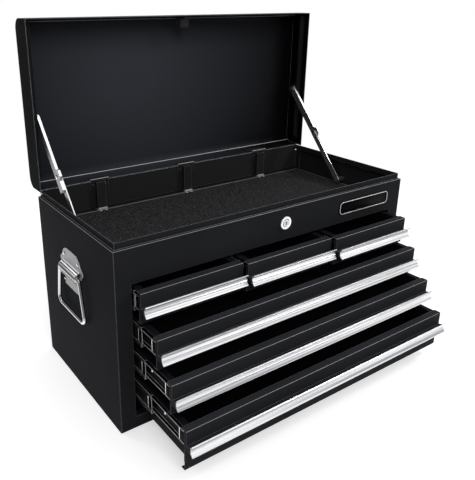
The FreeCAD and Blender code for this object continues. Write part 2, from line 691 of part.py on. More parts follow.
def upper_arm():
    """Channel from the lid pivot over the elbow, with a thumb tab on its web."""
    half = STAY_CHANNEL_WIDTH / 2
    low = STAY_LOWER_LENGTH - STAY_OVERRUN
    high = stay_span() + half
    thumb = STAY_THUMB_LENGTH / 2
    rise = half + STAY_THUMB_HEIGHT
    outline = [(low, -half), (high, -half), (high, half), (STAY_LOWER_LENGTH + thumb, half),
               (STAY_LOWER_LENGTH + thumb / 2, rise), (STAY_LOWER_LENGTH - thumb / 2, rise),
               (STAY_LOWER_LENGTH - thumb, half), (low, half)]
    end = half - STAY_WALL
    radii = [0, end, end, 0, 0, 0, 0, 0]
    inner_x = STAY_OUTER_X - STAY_CHANNEL
    arm = prism(outline, radii, "yz", inner_x, STAY_OUTER_X)
    slot = [(low, -half), (high, -half), (high, half - STAY_WALL), (low, half - STAY_WALL)]
    arm = arm.cut(prism(slot, [0, 0, 0, 0], "yz", inner_x + STAY_WALL, STAY_OUTER_X - STAY_WALL))
    hole = rod(Vec(inner_x, stay_span(), 0), AXIS_X, STUD_RADIUS + PIN_CLEARANCE, STAY_CHANNEL)
    return along_stay(arm.cut(hole))


def body_stud():
    """Shouldered stud on the side panel, with its head inboard of the lower arm."""
    at = Vec(0, STAY_BODY_Y, STAY_BODY_Z)
    shoulder = STAY_BAR_OUTER_X + STAY_SIDE_GAP
    inner = STAY_BAR_OUTER_X - STAY_BAR - STAY_SIDE_GAP
    head = inner - STUD_HEAD
    stud = faceted_rod(at + AXIS_X * head, AXIS_X, STUD_HEAD_RADIUS, STUD_HEAD)
    stud = stud.fuse(rod(at + AXIS_X * inner, AXIS_X, STUD_RADIUS, shoulder - inner))
    base = faceted_rod(at + AXIS_X * shoulder, AXIS_X, STUD_SHOULDER_RADIUS, INNER_X - shoulder)
    return stud.fuse(base).removeSplitter()


def lid_stud():
    """Rivet through the stiffener's lug and the upper arm."""
    inner = STAY_OUTER_X - STAY_CHANNEL - STAY_SIDE_GAP
    lug_outer = INNER_X - STIFFENER_WIDTH + SHEET
    at = Vec(0, STAY_LID_Y, STAY_LID_Z)
    stud = faceted_rod(at + AXIS_X * (inner - STUD_HEAD), AXIS_X, STUD_HEAD_RADIUS, STUD_HEAD)
    stud = stud.fuse(rod(at + AXIS_X * inner, AXIS_X, STUD_RADIUS, lug_outer - inner))
    tail = faceted_rod(at + AXIS_X * lug_outer, AXIS_X, STUD_HEAD_RADIUS, STUD_HEAD)
    return opened(stud.fuse(tail).removeSplitter())


def build_stays():
    for suffix, handed in (("right", lambda shape: shape), ("left", mirrored)):
        save("stay_lower_" + suffix, handed(lower_arm()))
        save("stay_upper_" + suffix, handed(upper_arm()))
    body = body_stud()
    lid = lid_stud()
    save("stay_body_studs", body, mirrored(body))
    save("stay_lid_studs", lid, mirrored(lid))


# ---------------------------------------------------------------- drawers and slides
def drawer_front(left, right, top, bottom, face):
    """Pressed front: flanges all round, and a nose along its middle that carries the pull."""
    back = face + FRONT_DEPTH
    step = top - FRONT_STEP_DOWN
    low_face = face + FRONT_STEP_BACK
    nose = face - PULL_WEB_OUT + PULL_WALL
    nose_top = step + NOSE_SLOPE
    nose_low = nose_top - NOSE_HEIGHT
    outline = [(back, top), (face, top), (face, step), (nose, nose_top), (nose, nose_low),
               (low_face, nose_low), (low_face, bottom), (back, bottom)]
    radii = [0, FRONT_BEND, 0, 0, 0, 0, FRONT_BEND, 0]
    inner = offset_path(outline, SHEET)
    front = prism(outline, radii, "yz", left, right)
    front = front.cut(prism(inner, [0] * len(inner), "yz", left + SHEET, right - SHEET))
    for x in (left, right - SHEET):
        front = front.cut(block(x, x + SHEET, face + SIDE_RETURN, back, bottom + SHEET, top - SHEET))
        front = front.cut(block(x, x + SHEET, low_face + SHEET, back, bottom + SHEET, bottom + SIDE_NOTCH))
    return front


def drawer_pull(left, right, top, face):
    """Extruded pull on the front's nose: a web with a raised band between two flared lips."""
    web_back = PULL_WEB_OUT - PULL_WALL
    lip_root = PULL_TIP_DOWN + PULL_FLARE
    foot_root = PULL_FOOT_DOWN - PULL_FLARE
    bead = PULL_WEB_OUT + PULL_BEAD
    tip = PULL_WALL / 2
    shape = [
        (PULL_TIP_OUT - PULL_WALL, PULL_TIP_DOWN), (PULL_TIP_OUT, PULL_TIP_DOWN + tip),
        (PULL_WEB_OUT, lip_root), (PULL_WEB_OUT, PULL_BEAD_DOWN),
        (bead, PULL_BEAD_DOWN + PULL_BEAD), (bead, foot_root),
        (PULL_FOOT_OUT, PULL_FOOT_DOWN - tip), (PULL_FOOT_OUT - PULL_WALL, PULL_FOOT_DOWN),
        (web_back, foot_root + tip), (web_back, lip_root - tip),
    ]
    outline = [(face - out, top - down) for out, down in shape]
    return prism(outline, [0] * len(outline), "yz", left + PULL_END_GAP, right - PULL_END_GAP)


def drawer_box(left, right, top, bottom, face):
    """Folded box: outward flanges on its sides, a lower back for the lock bars to hook over."""
    x0 = left + SLIDE_THICKNESS
    x1 = right - SLIDE_THICKNESS
    y0 = face + FRONT_DEPTH
    y1 = y0 + BOX_BACK + HALF_D - FRONT_DEPTH
    z0 = bottom + BOX_LIFT
    tray = block(x0, x1, y0, y1, z0, top)
    hollow = block(x0 + BOX_WALL, x1 - BOX_WALL, y0 + BOX_WALL, y1 - BOX_WALL, z0 + BOX_WALL, top)
    tray = tray.cut(hollow)
    tray = tray.cut(block(x0 + BOX_WALL, x1 - BOX_WALL, y1 - BOX_WALL, y1, top - BOX_BACK_DROP, top))
    for a, b in ((x0 - BOX_FLANGE, x0), (x1, x1 + BOX_FLANGE)):
        tray = tray.fuse(block(a, b, y0, y1, top - BOX_WALL, top))
    return tray.removeSplitter()


def rail(side_x, sense, centre, path, start):
    """A slide rail: its section is drawn outwards from the drawer's side at side_x."""
    section = [(side_x + sense * out, centre + up) for out, up in path]
    return bent_sheet(section, RAIL_SHEET * sense, 0, "xz", start, start + SLIDE_LENGTH)


def cabinet_rail(side_x, sense, centre):
    """Outermost rail, on the post; its lips curl round the ball races."""
    half = CABINET_RAIL_HEIGHT / 2
    near = SLIDE_THICKNESS - CABINET_RAIL_REACH
    far = SLIDE_THICKNESS
    path = [(near, CABINET_RAIL_LIP - half), (near, -half), (far, -half), (far, half), (near, half),
            (near, half - CABINET_RAIL_LIP)]
    return rail(side_x, sense, centre, path, -HALF_D + SLIDE_SETBACK)


def middle_rail(side_x, sense, centre, out, lag):
    """Middle rail, which moves half as far as the drawer, with its ball cages."""
    half = MIDDLE_RAIL_HEIGHT / 2
    near = MIDDLE_RAIL_OFFSET
    far = near + MIDDLE_RAIL_REACH
    start = -HALF_D + SLIDE_SETBACK - out / 2 + lag
    sunk = far - RAIL_SINK
    shoulder = half - RAIL_SHOULDER
    path = [(near, -half), (far, -half), (far, -shoulder - RAIL_SINK), (sunk, -shoulder),
            (sunk, shoulder), (far, shoulder + RAIL_SINK), (far, half), (near, half)]
    pieces = [rail(side_x, sense, centre, path, start)]
    outer_low = half + CAGE_CLEARANCE
    outer_high = CABINET_RAIL_HEIGHT / 2 - RAIL_SHEET - CAGE_CLEARANCE
    inner_low = DRAWER_RAIL_HEIGHT / 2 + CAGE_CLEARANCE
    inner_high = half - RAIL_SHEET - CAGE_CLEARANCE
    outer_start = start + SLIDE_LENGTH - CAGE_LENGTH - INNER_CAGE_SETBACK
    inner_start = start + INNER_CAGE_SETBACK
    cages = ((outer_low, outer_high, far - CAGE_WIDTH, outer_start),
             (inner_low, inner_high, near + RAIL_SHEET, inner_start))
    for low, high, offset, begin in cages:
        xs = sorted((side_x + sense * offset, side_x + sense * (offset + CAGE_WIDTH)))
        for z0, z1 in ((centre + low, centre + high), (centre - high, centre - low)):
            pieces.append(block(xs[0], xs[1], begin, begin + CAGE_LENGTH, z0, z1))
    return pieces


def drawer_rail(side_x, sense, centre, out):
    """Inner rail, fixed along the drawer's side."""
    half = DRAWER_RAIL_HEIGHT / 2
    path = [(DRAWER_RAIL_REACH, half), (0, half), (0, -half), (DRAWER_RAIL_REACH, -half)]
    return rail(side_x, sense, centre, path, -HALF_D + SLIDE_SETBACK - out)


def build_drawers():
    """Every drawer with its slides; the cabinet rails of all of them share one node."""
    small = small_drawer_edges()
    full = (-FRONT_HALF, FRONT_HALF)
    plans = (("small_left", small[0], 0, SMALL_LEFT_OUT, 0),
             ("small_middle", small[1], 0, SMALL_MIDDLE_OUT, 0),
             ("small_right", small[2], 0, SMALL_RIGHT_OUT, 0),
             ("second", full, 1, SECOND_OUT, SECOND_LAG),
             ("third", full, 2, THIRD_OUT, THIRD_LAG),
             ("bottom", full, 3, BOTTOM_OUT, BOTTOM_LAG))
    cabinet_rails = []
    for name, (left, right), row, out, lag in plans:
        top = ROW_TOPS[row]
        bottom = ROW_FLOORS[row]
        face = -HALF_D - out
        centre = top - SLIDE_DROP
        sides = ((left + SLIDE_THICKNESS, -1), (right - SLIDE_THICKNESS, 1))
        prefix = "drawer_" + name
        save(prefix + "_front", drawer_front(left, right, top, bottom, face))
        save(prefix + "_pull", drawer_pull(left, right, top, face))
        save(prefix + "_box", drawer_box(left, right, top, bottom, face))
        save(prefix + "_rails", *[drawer_rail(x, sense, centre, out) for x, sense in sides])
        middle = [piece for x, sense in sides for piece in middle_rail(x, sense, centre, out, lag)]
        save(prefix + "_middle_rails", *middle)
        cabinet_rails += [cabinet_rail(x, sense, centre) for x, sense in sides]
    save("cabinet_rails", *cabinet_rails)


# ---------------------------------------------------------------- lock bars, lock and handles
def lock_bar(x):
    """Channel bar behind the drawers, with a hook over each drawer's back."""
    half = LOCK_BAR_WIDTH / 2
    rear = INNER_Y - LOCK_BAR_BACK_GAP
    top = HINGE_Z - LOCK_BAR_TOP_GAP
    bottom = ROW_TOPS[-1] - BOX_BACK_DROP - HOOK_DROP_BELOW
    path = [(x - half, rear), (x - half, LOCK_BAR_FRONT), (x + half, LOCK_BAR_FRONT), (x + half, rear)]
    bar = bent_sheet(path, LOCK_BAR_SHEET, 0, "xy", bottom, top)
    nose_front = LOCK_BAR_FRONT - HOOK_REACH
    for row_top in ROW_TOPS:
        box_back_top = row_top - BOX_BACK_DROP
        arm_low = box_back_top + LOCK_BAR_TRAVEL + HOOK_SHUT_GAP
        arm_high = arm_low + HOOK_THICKNESS
        nose_low = box_back_top + HOOK_LIFT
        hook = [(LOCK_BAR_FRONT, arm_low), (LOCK_BAR_FRONT, arm_high), (nose_front, arm_high),
                (nose_front, nose_low), (nose_front + HOOK_THICKNESS, nose_low),
                (nose_front + HOOK_THICKNESS, arm_low)]
        bar = bar.fuse(prism(hook, [0] * 6, "yz", x - HOOK_WIDTH / 2, x + HOOK_WIDTH / 2))
    return bar.removeSplitter()


def lock_bar_guide(x):
    """Plated strap on the till floor that keeps a bar against the back panel."""
    inner = LOCK_BAR_WIDTH / 2 + GUIDE_SIDE_GAP
    outer = inner + GUIDE_SHEET
    front = LOCK_BAR_FRONT - GUIDE_FRONT_GAP - GUIDE_SHEET
    rear = INNER_Y - SHEET - BEND
    path = [(x - outer, rear), (x - outer, front), (x + outer, front), (x + outer, rear)]
    return bent_sheet(path, GUIDE_SHEET, 0, "xy", TILL_FLOOR_TOP, TILL_FLOOR_TOP + GUIDE_HEIGHT)


def lock_axis(y):
    return Vec(LOCK_X, y, LOCK_Z)


def lock_housing():
    """Bezel and barrel through the front, bored for the plug."""
    front = -HALF_D - LOCK_BEZEL
    length = LOCK_BEZEL + LOCK_BARREL_LENGTH
    bezel = rod(lock_axis(front), AXIS_Y, LOCK_BEZEL_RADIUS, LOCK_BEZEL)
    housing = bezel.fuse(rod(lock_axis(front), AXIS_Y, LOCK_BARREL_RADIUS, length))
    return housing.cut(rod(lock_axis(front), AXIS_Y, PLUG_RADIUS + PLUG_GAP, length)).removeSplitter()


def lock_nut():
    """Hexagon nut behind the front frame."""
    radius = LOCK_NUT_FLATS / 2 / math.cos(math.pi / 6)
    corners = [(LOCK_X + radius * math.cos(i * math.pi / 3), LOCK_Z + radius * math.sin(i * math.pi / 3))
               for i in range(6)]
    nut = prism(corners, [0] * 6, "xz", -INNER_Y, -INNER_Y + LOCK_NUT)
    return nut.cut(rod(lock_axis(-INNER_Y), AXIS_Y, LOCK_BARREL_RADIUS, LOCK_NUT))


def lock_plug():
    """Key plug with its keyway, and a square tang behind for the cam."""
    front = -HALF_D - LOCK_BEZEL - PLUG_PROUD
    rear = -HALF_D + LOCK_BARREL_LENGTH + CAM_GAP
    plug = rod(lock_axis(front), AXIS_Y, PLUG_RADIUS, rear - front)
    half = CAM_TANG / 2
    tang = block(LOCK_X - half, LOCK_X + half, rear, rear + CAM_SHEET + TANG_END,
                 LOCK_Z - half, LOCK_Z + half)
    keyway = block(LOCK_X - KEYWAY_WIDTH / 2, LOCK_X + KEYWAY_WIDTH / 2, front, front + KEYWAY_DEPTH,
                   LOCK_Z - KEYWAY_HEIGHT / 2, LOCK_Z + KEYWAY_HEIGHT / 2)
    return plug.fuse(tang).cut(keyway).removeSplitter()


def lock_cam():
    """Hooked cam, drawn upright as when locked, then turned down sideways to its open place."""
    start = -HALF_D + LOCK_BARREL_LENGTH + CAM_GAP
    end = start + CAM_SHEET
    plate_top = striker_seat() + STRIKER_SHEET - LOCK_Z
    reach = math.hypot(plate_top, CAM_NOSE_REACH) + CAM_HOOK_GAP
    left = STRIKER_RIGHT + CAM_HOOK_GAP - LOCK_X
    hub = PLUG_RADIUS + CAM_SHEET
    outer = reach + CAM_NOSE
    cam = rod(Vec(0, start, 0), AXIS_Y, hub, end - start)
    shank = [(left, 0), (CAM_SHANK_RIGHT, 0), (CAM_SHANK_RIGHT, outer), (left, outer)]
    cam = cam.fuse(prism(shank, [0] * 4, "xz", start, end))
    nose = [(-CAM_NOSE_REACH, reach - CAM_NOSE), (0, reach - CAM_NOSE), (0, outer + CAM_NOSE),
            (-CAM_NOSE_REACH, outer + CAM_NOSE)]
    ring = rod(Vec(0, start, 0), AXIS_Y, outer, end - start).cut(
        rod(Vec(0, start, 0), AXIS_Y, reach, end - start))
    cam = cam.fuse(ring.common(prism(nose, [0] * 4, "xz", start, end)))
    cam = cam.common(rod(Vec(0, start, 0), AXIS_Y, outer, end - start))
    half = CAM_TANG / 2
    cam = cam.cut(block(-half, half, start, end, -half, half)).removeSplitter()
    cam.rotate(ORIGIN, AXIS_Y, 90)
    cam.translate(Vec(LOCK_X, 0, LOCK_Z))
    return cam


def handle_plate():
    """Left handle plate: lobed sheet, a hood over the bail's top, and the barrel behind the hood."""
    half = [(PLATE_LOBE_HALF, PLATE_TOP_RISE, PLATE_LOBE_ROUND),
            (PLATE_SHOULDER_HALF, PLATE_SHOULDER_RISE, 0),
            (PLATE_WING_HALF, PLATE_WING_RISE, 0),
            (PLATE_WING_HALF, PLATE_WING_RISE - PLATE_WING_TIP, 0),
            (PLATE_WAIST_HALF, -PLATE_WAIST_DROP, 0), (PLATE_FOOT_HALF, -PLATE_FOOT_DROP, 0)]
    whole = half + [(-a, b, radius) for a, b, radius in reversed(half)]
    outline = [(HANDLE_Y + a, HANDLE_Z + b) for a, b, radius in whole]
    radii = [radius for a, b, radius in whole]
    face = -HALF_W - HANDLE_PLATE
    plate = prism(outline, radii, "yz", face, -HALF_W)
    span = BAIL_TOP_HALF - BAIL_TOP_BEND - BARREL_END_GAP
    hood_x = -HALF_W - HOOD_OUT
    hood_path = [(-HALF_W, HANDLE_Z + HOOD_RISE), (hood_x, HANDLE_Z + HOOD_BROW),
                 (hood_x, HANDLE_Z - HOOD_CHEEK), (hood_x + HOOD_TUCK, HANDLE_Z - HOOD_DROP)]
    hood_half = span - HOOD_BARE
    hood = bent_sheet(hood_path, HANDLE_PLATE, HOOD_BEND, "xz", HANDLE_Y - hood_half, HANDLE_Y + hood_half)
    outer = BAIL_RADIUS + BARREL_GAP + BARREL_WALL
    start = Vec(-HALF_W - HANDLE_AXIS_OUT, HANDLE_Y - span, HANDLE_Z)
    barrel = faceted_rod(start, AXIS_Y, outer, 2 * span)
    plate = plate.fuse(hood).fuse(barrel)
    plate = plate.cut(block(-HALF_W, 0, HANDLE_Y - PLATE_WING_HALF, HANDLE_Y + PLATE_WING_HALF,
                            HANDLE_Z - PLATE_FOOT_DROP, HANDLE_Z + PLATE_TOP_RISE))
    return plate.cut(rod(start, AXIS_Y, BAIL_RADIUS + BARREL_GAP, 2 * span)).removeSplitter()


def handle_bail():
    """Left bail: one bent rod, its ends turned in to the barrel, hanging straight down."""
    x = -HALF_W - HANDLE_AXIS_OUT
    stub = BAIL_TOP_HALF - BAIL_TOP_BEND - BARREL_END_GAP - BAIL_STUB
    ends = ((stub, 0, 0), (BAIL_TOP_HALF, 0, BAIL_TOP_BEND),
            (BAIL_BOTTOM_HALF, -BAIL_DROP, BAIL_BOTTOM_BEND))
    rear = [(Vec(x, HANDLE_Y + a, HANDLE_Z + b), radius) for a, b, radius in ends]
    front = [(Vec(x, HANDLE_Y - a, HANDLE_Z + b), radius) for a, b, radius in reversed(ends)]
    corners = rear + front
    route = [corners[0][0]]
    for i in range(1, len(corners) - 1):
        here, radius = corners[i]
        route += corner_cut(here, corners[i - 1][0], corners[i + 1][0], radius)
    route.append(corners[-1][0])
    section = faceted_ring(route[0], AXIS_Y, BAIL_RADIUS, ROD_SIDES)
    mitred = 1
    return Part.makePolygon(route).makePipeShell([section], True, False, mitred)


def build_fittings():
    save("lock_bars", *[lock_bar(x) for x in HINGE_XS])
    save("lock_bar_guides", *[lock_bar_guide(x) for x in HINGE_XS])
    save("lock_housing", lock_housing(), lock_nut())
    save("lock_plug", lock_plug())
    save("lock_cam", lock_cam())
    plate = handle_plate()
    bail = handle_bail()
    save("handle_plates", plate, mirrored(plate))
    save("handle_bail_left", bail)
    save("handle_bail_right", mirrored(bail))


os.makedirs("parts", exist_ok=True)
build_cabinet()
build_lid()
build_stays()
build_drawers()
build_fittings()
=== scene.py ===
import math
from typing import NamedTuple

import bmesh
import bpy
from mathutils import Matrix, Vector


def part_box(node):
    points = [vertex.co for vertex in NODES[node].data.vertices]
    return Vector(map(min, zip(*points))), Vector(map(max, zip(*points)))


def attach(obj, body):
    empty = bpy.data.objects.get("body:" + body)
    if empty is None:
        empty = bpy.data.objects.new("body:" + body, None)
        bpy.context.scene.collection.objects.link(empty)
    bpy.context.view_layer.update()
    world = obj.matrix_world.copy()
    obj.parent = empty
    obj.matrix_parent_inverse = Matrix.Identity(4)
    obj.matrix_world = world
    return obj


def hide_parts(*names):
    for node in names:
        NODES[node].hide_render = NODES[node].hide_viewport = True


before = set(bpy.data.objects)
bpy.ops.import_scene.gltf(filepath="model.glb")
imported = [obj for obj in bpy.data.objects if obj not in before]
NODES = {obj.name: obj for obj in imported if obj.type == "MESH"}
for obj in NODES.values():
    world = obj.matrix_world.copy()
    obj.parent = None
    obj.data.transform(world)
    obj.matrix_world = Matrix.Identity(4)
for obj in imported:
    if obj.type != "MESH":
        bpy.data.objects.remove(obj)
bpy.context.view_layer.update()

MM = 0.001
SIDES = (("left", -1), ("right", 1))
DRAWERS = ("small_left", "small_middle", "small_right", "second", "third", "bottom")


def corners(node):
    """A node's lowest and highest corners at rest, in millimetres."""
    return [Vector(corner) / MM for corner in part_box(node)]


def middle_of(node):
    """The middle of a node's box at rest, in millimetres."""
    low, high = corners(node)
    return (low + high) / 2


# ---------------------------------------------------------------- camera
FRAME_WIDTH = 475                             # pixels
CAMERA_SPOT = (-668.12, -861.31, 679.18)      # mm
CAMERA_TURN = 33.98                           # degrees to the right of straight ahead
CAMERA_DIP = 19.84                            # degrees below the horizon
FOCAL_PIXELS = 580.91
CENTRE_RIGHT = -46.30                         # optical centre from the frame's centre, in pixels
CENTRE_DOWN = -33.27
SENSOR_WIDTH = 36.0                           # mm
NEAREST_SEEN = 0.05                           # metres
FARTHEST_SEEN = 50.0


def place_camera():
    lens = bpy.data.cameras.new("camera")
    lens.sensor_fit = "HORIZONTAL"
    lens.sensor_width = SENSOR_WIDTH
    lens.lens = FOCAL_PIXELS * SENSOR_WIDTH / FRAME_WIDTH
    lens.shift_x = -CENTRE_RIGHT / FRAME_WIDTH
    lens.shift_y = CENTRE_DOWN / FRAME_WIDTH
    lens.clip_start = NEAREST_SEEN
    lens.clip_end = FARTHEST_SEEN
    camera = bpy.data.objects.new("camera", lens)
    bpy.context.collection.objects.link(camera)
    turn = Matrix.Rotation(math.radians(-CAMERA_TURN), 4, "Z")
    dip = Matrix.Rotation(math.radians(90 - CAMERA_DIP), 4, "X")
    camera.matrix_world = Matrix.Translation(Vector(CAMERA_SPOT) * MM) @ turn @ dip
    bpy.context.scene.camera = camera


# ---------------------------------------------------------------- node helpers
EDGE_ROUNDING = 0.0005       # metres, the soft edge that most finishes give a sharp corner


class Finish:
    """One material's node tree, with short calls for the nodes that it needs."""

    def __init__(self, name):
        self.material = bpy.data.materials.new(name)
        self.material.use_nodes = True
        self.tree = self.material.node_tree
        self.shader = self.tree.nodes["Principled BSDF"]
        coordinates = self.add("ShaderNodeTexCoord")
        self.place = coordinates.outputs["Object"]
        self.facing = coordinates.outputs["Normal"]

    def add(self, kind, **settings):
        """Add a node with its settings."""
        node = self.tree.nodes.new(kind)
        for key, value in settings.items():
            setattr(node, key, value)
        return node

    def put(self, value, socket):
        """Link a value to a socket when it comes from a node, or else set it there."""
        if isinstance(value, bpy.types.NodeSocket):
            self.tree.links.new(value, socket)
        else:
            socket.default_value = value

    def feed(self, node, **inputs):
        """Set or link a node's inputs by name."""
        for key, value in inputs.items():
            self.put(value, node.inputs[key.replace("_", " ")])
        return node

    def calculate(self, operation, first, second=0.0):
        """One step of arithmetic."""
        node = self.add("ShaderNodeMath", operation=operation)
        self.put(first, node.inputs[0])
        self.put(second, node.inputs[1])
        return node.outputs[0]

    def dot(self, first, second):
        """How far two directions agree: 1 when they are the same, 0 at a right angle."""
        node = self.add("ShaderNodeVectorMath", operation="DOT_PRODUCT")
        self.put(first, node.inputs[0])
        self.put(second, node.inputs[1])
        return node.outputs["Value"]

    def ramp(self, value, low, high, start=0.3, end=0.7):
        """Carry a value between start and end to a number between low and high."""
        node = self.add("ShaderNodeMapRange")
        node.inputs["From Min"].default_value = start
        node.inputs["From Max"].default_value = end
        self.put(low, node.inputs["To Min"])
        self.put(high, node.inputs["To Max"])
        self.put(value, node.inputs["Value"])
        return node.outputs["Result"]

    def share(self, value, start=0.3, end=0.7):
        """Carry a value between start and end to a share from 0 to 1."""
        return self.ramp(value, 0.0, 1.0, start, end)

    def blend(self, factor, first, second):
        """Mix two colours by a factor."""
        node = self.add("ShaderNodeMix", data_type="RGBA")
        for index, value in ((0, factor), (6, first), (7, second)):      # 6 and 7 are its colour sockets
            self.put(value, node.inputs[index])
        return node.outputs[2]

    def noise(self, scale, detail=2.0, stretch=(1, 1, 1)):
        """Cloudy noise, stretched along the axes where stretch is small."""
        spread = self.feed(self.add("ShaderNodeMapping"), Vector=self.place, Scale=stretch)
        node = self.add("ShaderNodeTexNoise")
        self.feed(node, Vector=spread.outputs["Vector"], Scale=scale, Detail=detail)
        return node.outputs["Fac"]

    def split(self, vector):
        """The three parts of a vector."""
        node = self.add("ShaderNodeSeparateXYZ")
        self.put(vector, node.inputs[0])
        return node.outputs

    def along(self, axis):
        """The place along one axis of the object, in millimetres."""
        return self.calculate("MULTIPLY", self.split(self.place)[axis], 1 / MM)

    def away(self, spot):
        """The distance from a spot of the object, in millimetres."""
        node = self.add("ShaderNodeVectorMath", operation="DISTANCE")
        self.put(self.place, node.inputs[0])
        node.inputs[1].default_value = [value * MM for value in spot]
        return self.calculate("MULTIPLY", node.outputs["Value"], 1 / MM)

    def rounded(self, radius):
        """The normal with sharp corners rounded by a radius in metres."""
        return self.feed(self.add("ShaderNodeBevel", samples=4), Radius=radius).outputs["Normal"]

    def bump(self, height, strength, distance, rounding=EDGE_ROUNDING):
        """Fine relief from a height; a rounding of 0 leaves sharp corners sharp."""
        node = self.add("ShaderNodeBump")
        self.feed(node, Height=height, Strength=strength, Distance=distance)
        if rounding:
            self.put(self.rounded(rounding), node.inputs["Normal"])
        return node.outputs["Normal"]

    def edges(self, radius, start=0.80, end=0.99):
        """A mask that is 1 on sharp or tightly bent edges and 0 on flat faces."""
        flat = self.add("ShaderNodeNewGeometry")
        return self.ramp(self.dot(self.rounded(radius), flat.outputs["Normal"]), 1.0, 0.0, start, end)

    def bends(self, start, end):
        """A mask that is 1 where a fold turns from one flat face to the next."""
        across, along, up = (self.calculate("ABSOLUTE", part) for part in self.split(self.facing))
        squarest = self.calculate("MAXIMUM", self.calculate("MAXIMUM", across, along), up)
        upright = self.ramp(up, 0.3, 1.0, 0.2, 0.5)          # upright folds catch less light
        return self.calculate("MULTIPLY", self.ramp(squarest, 1.0, 0.0, start, end), upright)

    def inside(self, middle):
        """A mask that is 1 on faces turned towards the hollow's middle and 0 on outer faces."""
        inward = self.add("ShaderNodeVectorMath", operation="SUBTRACT")
        inward.inputs[0].default_value = [value * MM for value in middle]
        self.put(self.place, inward.inputs[1])
        return self.calculate("GREATER_THAN", self.dot(inward.outputs["Vector"], self.facing))

    def turned_to(self, direction, waves):
        """Light and dark bands that follow how far a face turns to a direction."""
        turn = self.calculate("MULTIPLY", self.dot(self.facing, Vector(direction).normalized()), waves)
        return self.share(self.calculate("SINE", turn), -1.0, 1.0)

    def finish(self, **inputs):
        """Set or link the shader's inputs by name; returns the finished material."""
        self.feed(self.shader, **inputs)
        return self.material


def grey(tone, cool=0.0):
    """The linear colour of an 8-bit grey, with a little more blue when cool."""
    def linear(value):
        share = value / 255
        return share / 12.92 if share <= 0.04045 else ((share + 0.055) / 1.055) ** 2.4
    return (linear(tone), linear(tone + cool * 0.2), linear(tone + cool), 1.0)


# ---------------------------------------------------------------- finishes
class PaintedLightPatch(NamedTuple):
    """A painted pool of light on a coat, palest at its spot and fading away from it."""
    spot: tuple              # mm
    near: float              # mm from the spot, where it starts to fade
    far: float               # mm from the spot, where it has faded
    tone: float


class Hollow(NamedTuple):
    """How a coat looks on the faces that are turned towards a hollow's middle."""
    middle: tuple            # mm
    tone: float
    gloss: float
    patch: PaintedLightPatch = None


CASE_HOLLOW = Hollow(middle=(0, 0, 165), tone=35, gloss=0.01)
# On the lid's inside a painted pool of light left of the middle fades into tone 10, which is painted shade.
LID_HOLLOW = Hollow(middle=(0, 60, 492), tone=10, gloss=0.02,
                    patch=PaintedLightPatch(spot=(-110, 190, 545), near=60, far=420, tone=54))
# COAT_EDGE is how far the painted edge highlight reaches from a sharp corner.
COAT_EDGE = 0.0009           # metres
EDGE_GLOSS = 0.25


def hollow_colour(finish, hollow, edge, edge_highlight_tone):
    """The coat's colour on the faces inside a hollow, with a painted pool of light where it has one and a
    slightly weaker painted edge highlight.
    """
    dusk = grey(hollow.tone, 1)
    if hollow.patch:
        patch = hollow.patch
        # painted light: the patch's pale tone fades into the hollow's tone with distance
        distance = finish.share(finish.away(patch.spot), patch.near, patch.far)
        dusk = finish.blend(distance, grey(patch.tone, 7), grey(hollow.tone, 2))
    return finish.blend(finish.calculate("MULTIPLY", edge, 0.8), dusk, grey(edge_highlight_tone, 4))


def powder_coat(name, tone, edge_highlight_tone, gloss, sheen=(0.30, 0.42), fold=0.86, edge_share=0.8, hollow=None):
    """Semi-gloss black powder coat: fine orange peel, uneven gloss, and a painted highlight along sharp
    edges and folds.
    """
    finish = Finish(name)
    cloud = finish.noise(scale=6.0, detail=4.0)
    body = finish.blend(finish.share(cloud), grey(tone - 2, 3), grey(tone + 2, 4))
    shine = finish.ramp(finish.noise(scale=9.0, detail=3.0), gloss * 0.85, gloss * 1.15)
    sharp = finish.calculate("MULTIPLY", finish.edges(COAT_EDGE), edge_share)
    edge = finish.calculate("MAXIMUM", sharp, finish.bends(start=0.72, end=fold))
    # painted highlight: edges and folds are blended to a pale tone
    colour = finish.blend(edge, body, grey(edge_highlight_tone, 4))
    if hollow:
        inner = finish.inside(hollow.middle)
        colour = finish.blend(inner, colour, hollow_colour(finish, hollow, edge, edge_highlight_tone))
        shine = finish.ramp(inner, shine, hollow.gloss, start=0.0, end=1.0)
    shine = finish.ramp(edge, shine, EDGE_GLOSS, start=0.0, end=1.0)
    rough = finish.ramp(finish.noise(scale=60.0, detail=4.0, stretch=(0.15, 1, 3)), *sheen)
    peel = finish.bump(finish.noise(scale=900.0), strength=0.22, distance=0.00008, rounding=0.0007)
    return finish.finish(Base_Color=colour, Roughness=rough, Normal=peel, Specular_IOR_Level=shine)


def metal(name, tone, rough, metallic=1.0, gloss=0.5, edge_highlight_tone=None, edge_radius=0.0010):
    """Bare or plated metal with a fine grain; rough holds the lowest and highest roughness; an edge
    highlight tone paints a highlight along sharp edges.
    """
    finish = Finish(name)
    grain = finish.noise(scale=900.0, detail=3.0)
    cloud = finish.noise(scale=25.0, detail=4.0)
    colour = finish.blend(finish.share(cloud), grey(tone - 8), grey(tone + 6, 1))
    # painted highlight along sharp edges
    if edge_highlight_tone:
        colour = finish.blend(finish.edges(edge_radius), colour, grey(edge_highlight_tone, 4))
    relief = finish.bump(grain, strength=0.15, distance=0.00003)
    return finish.finish(Base_Color=colour, Roughness=finish.ramp(grain, *rough), Normal=relief,
                         Metallic=metallic, Specular_IOR_Level=gloss)


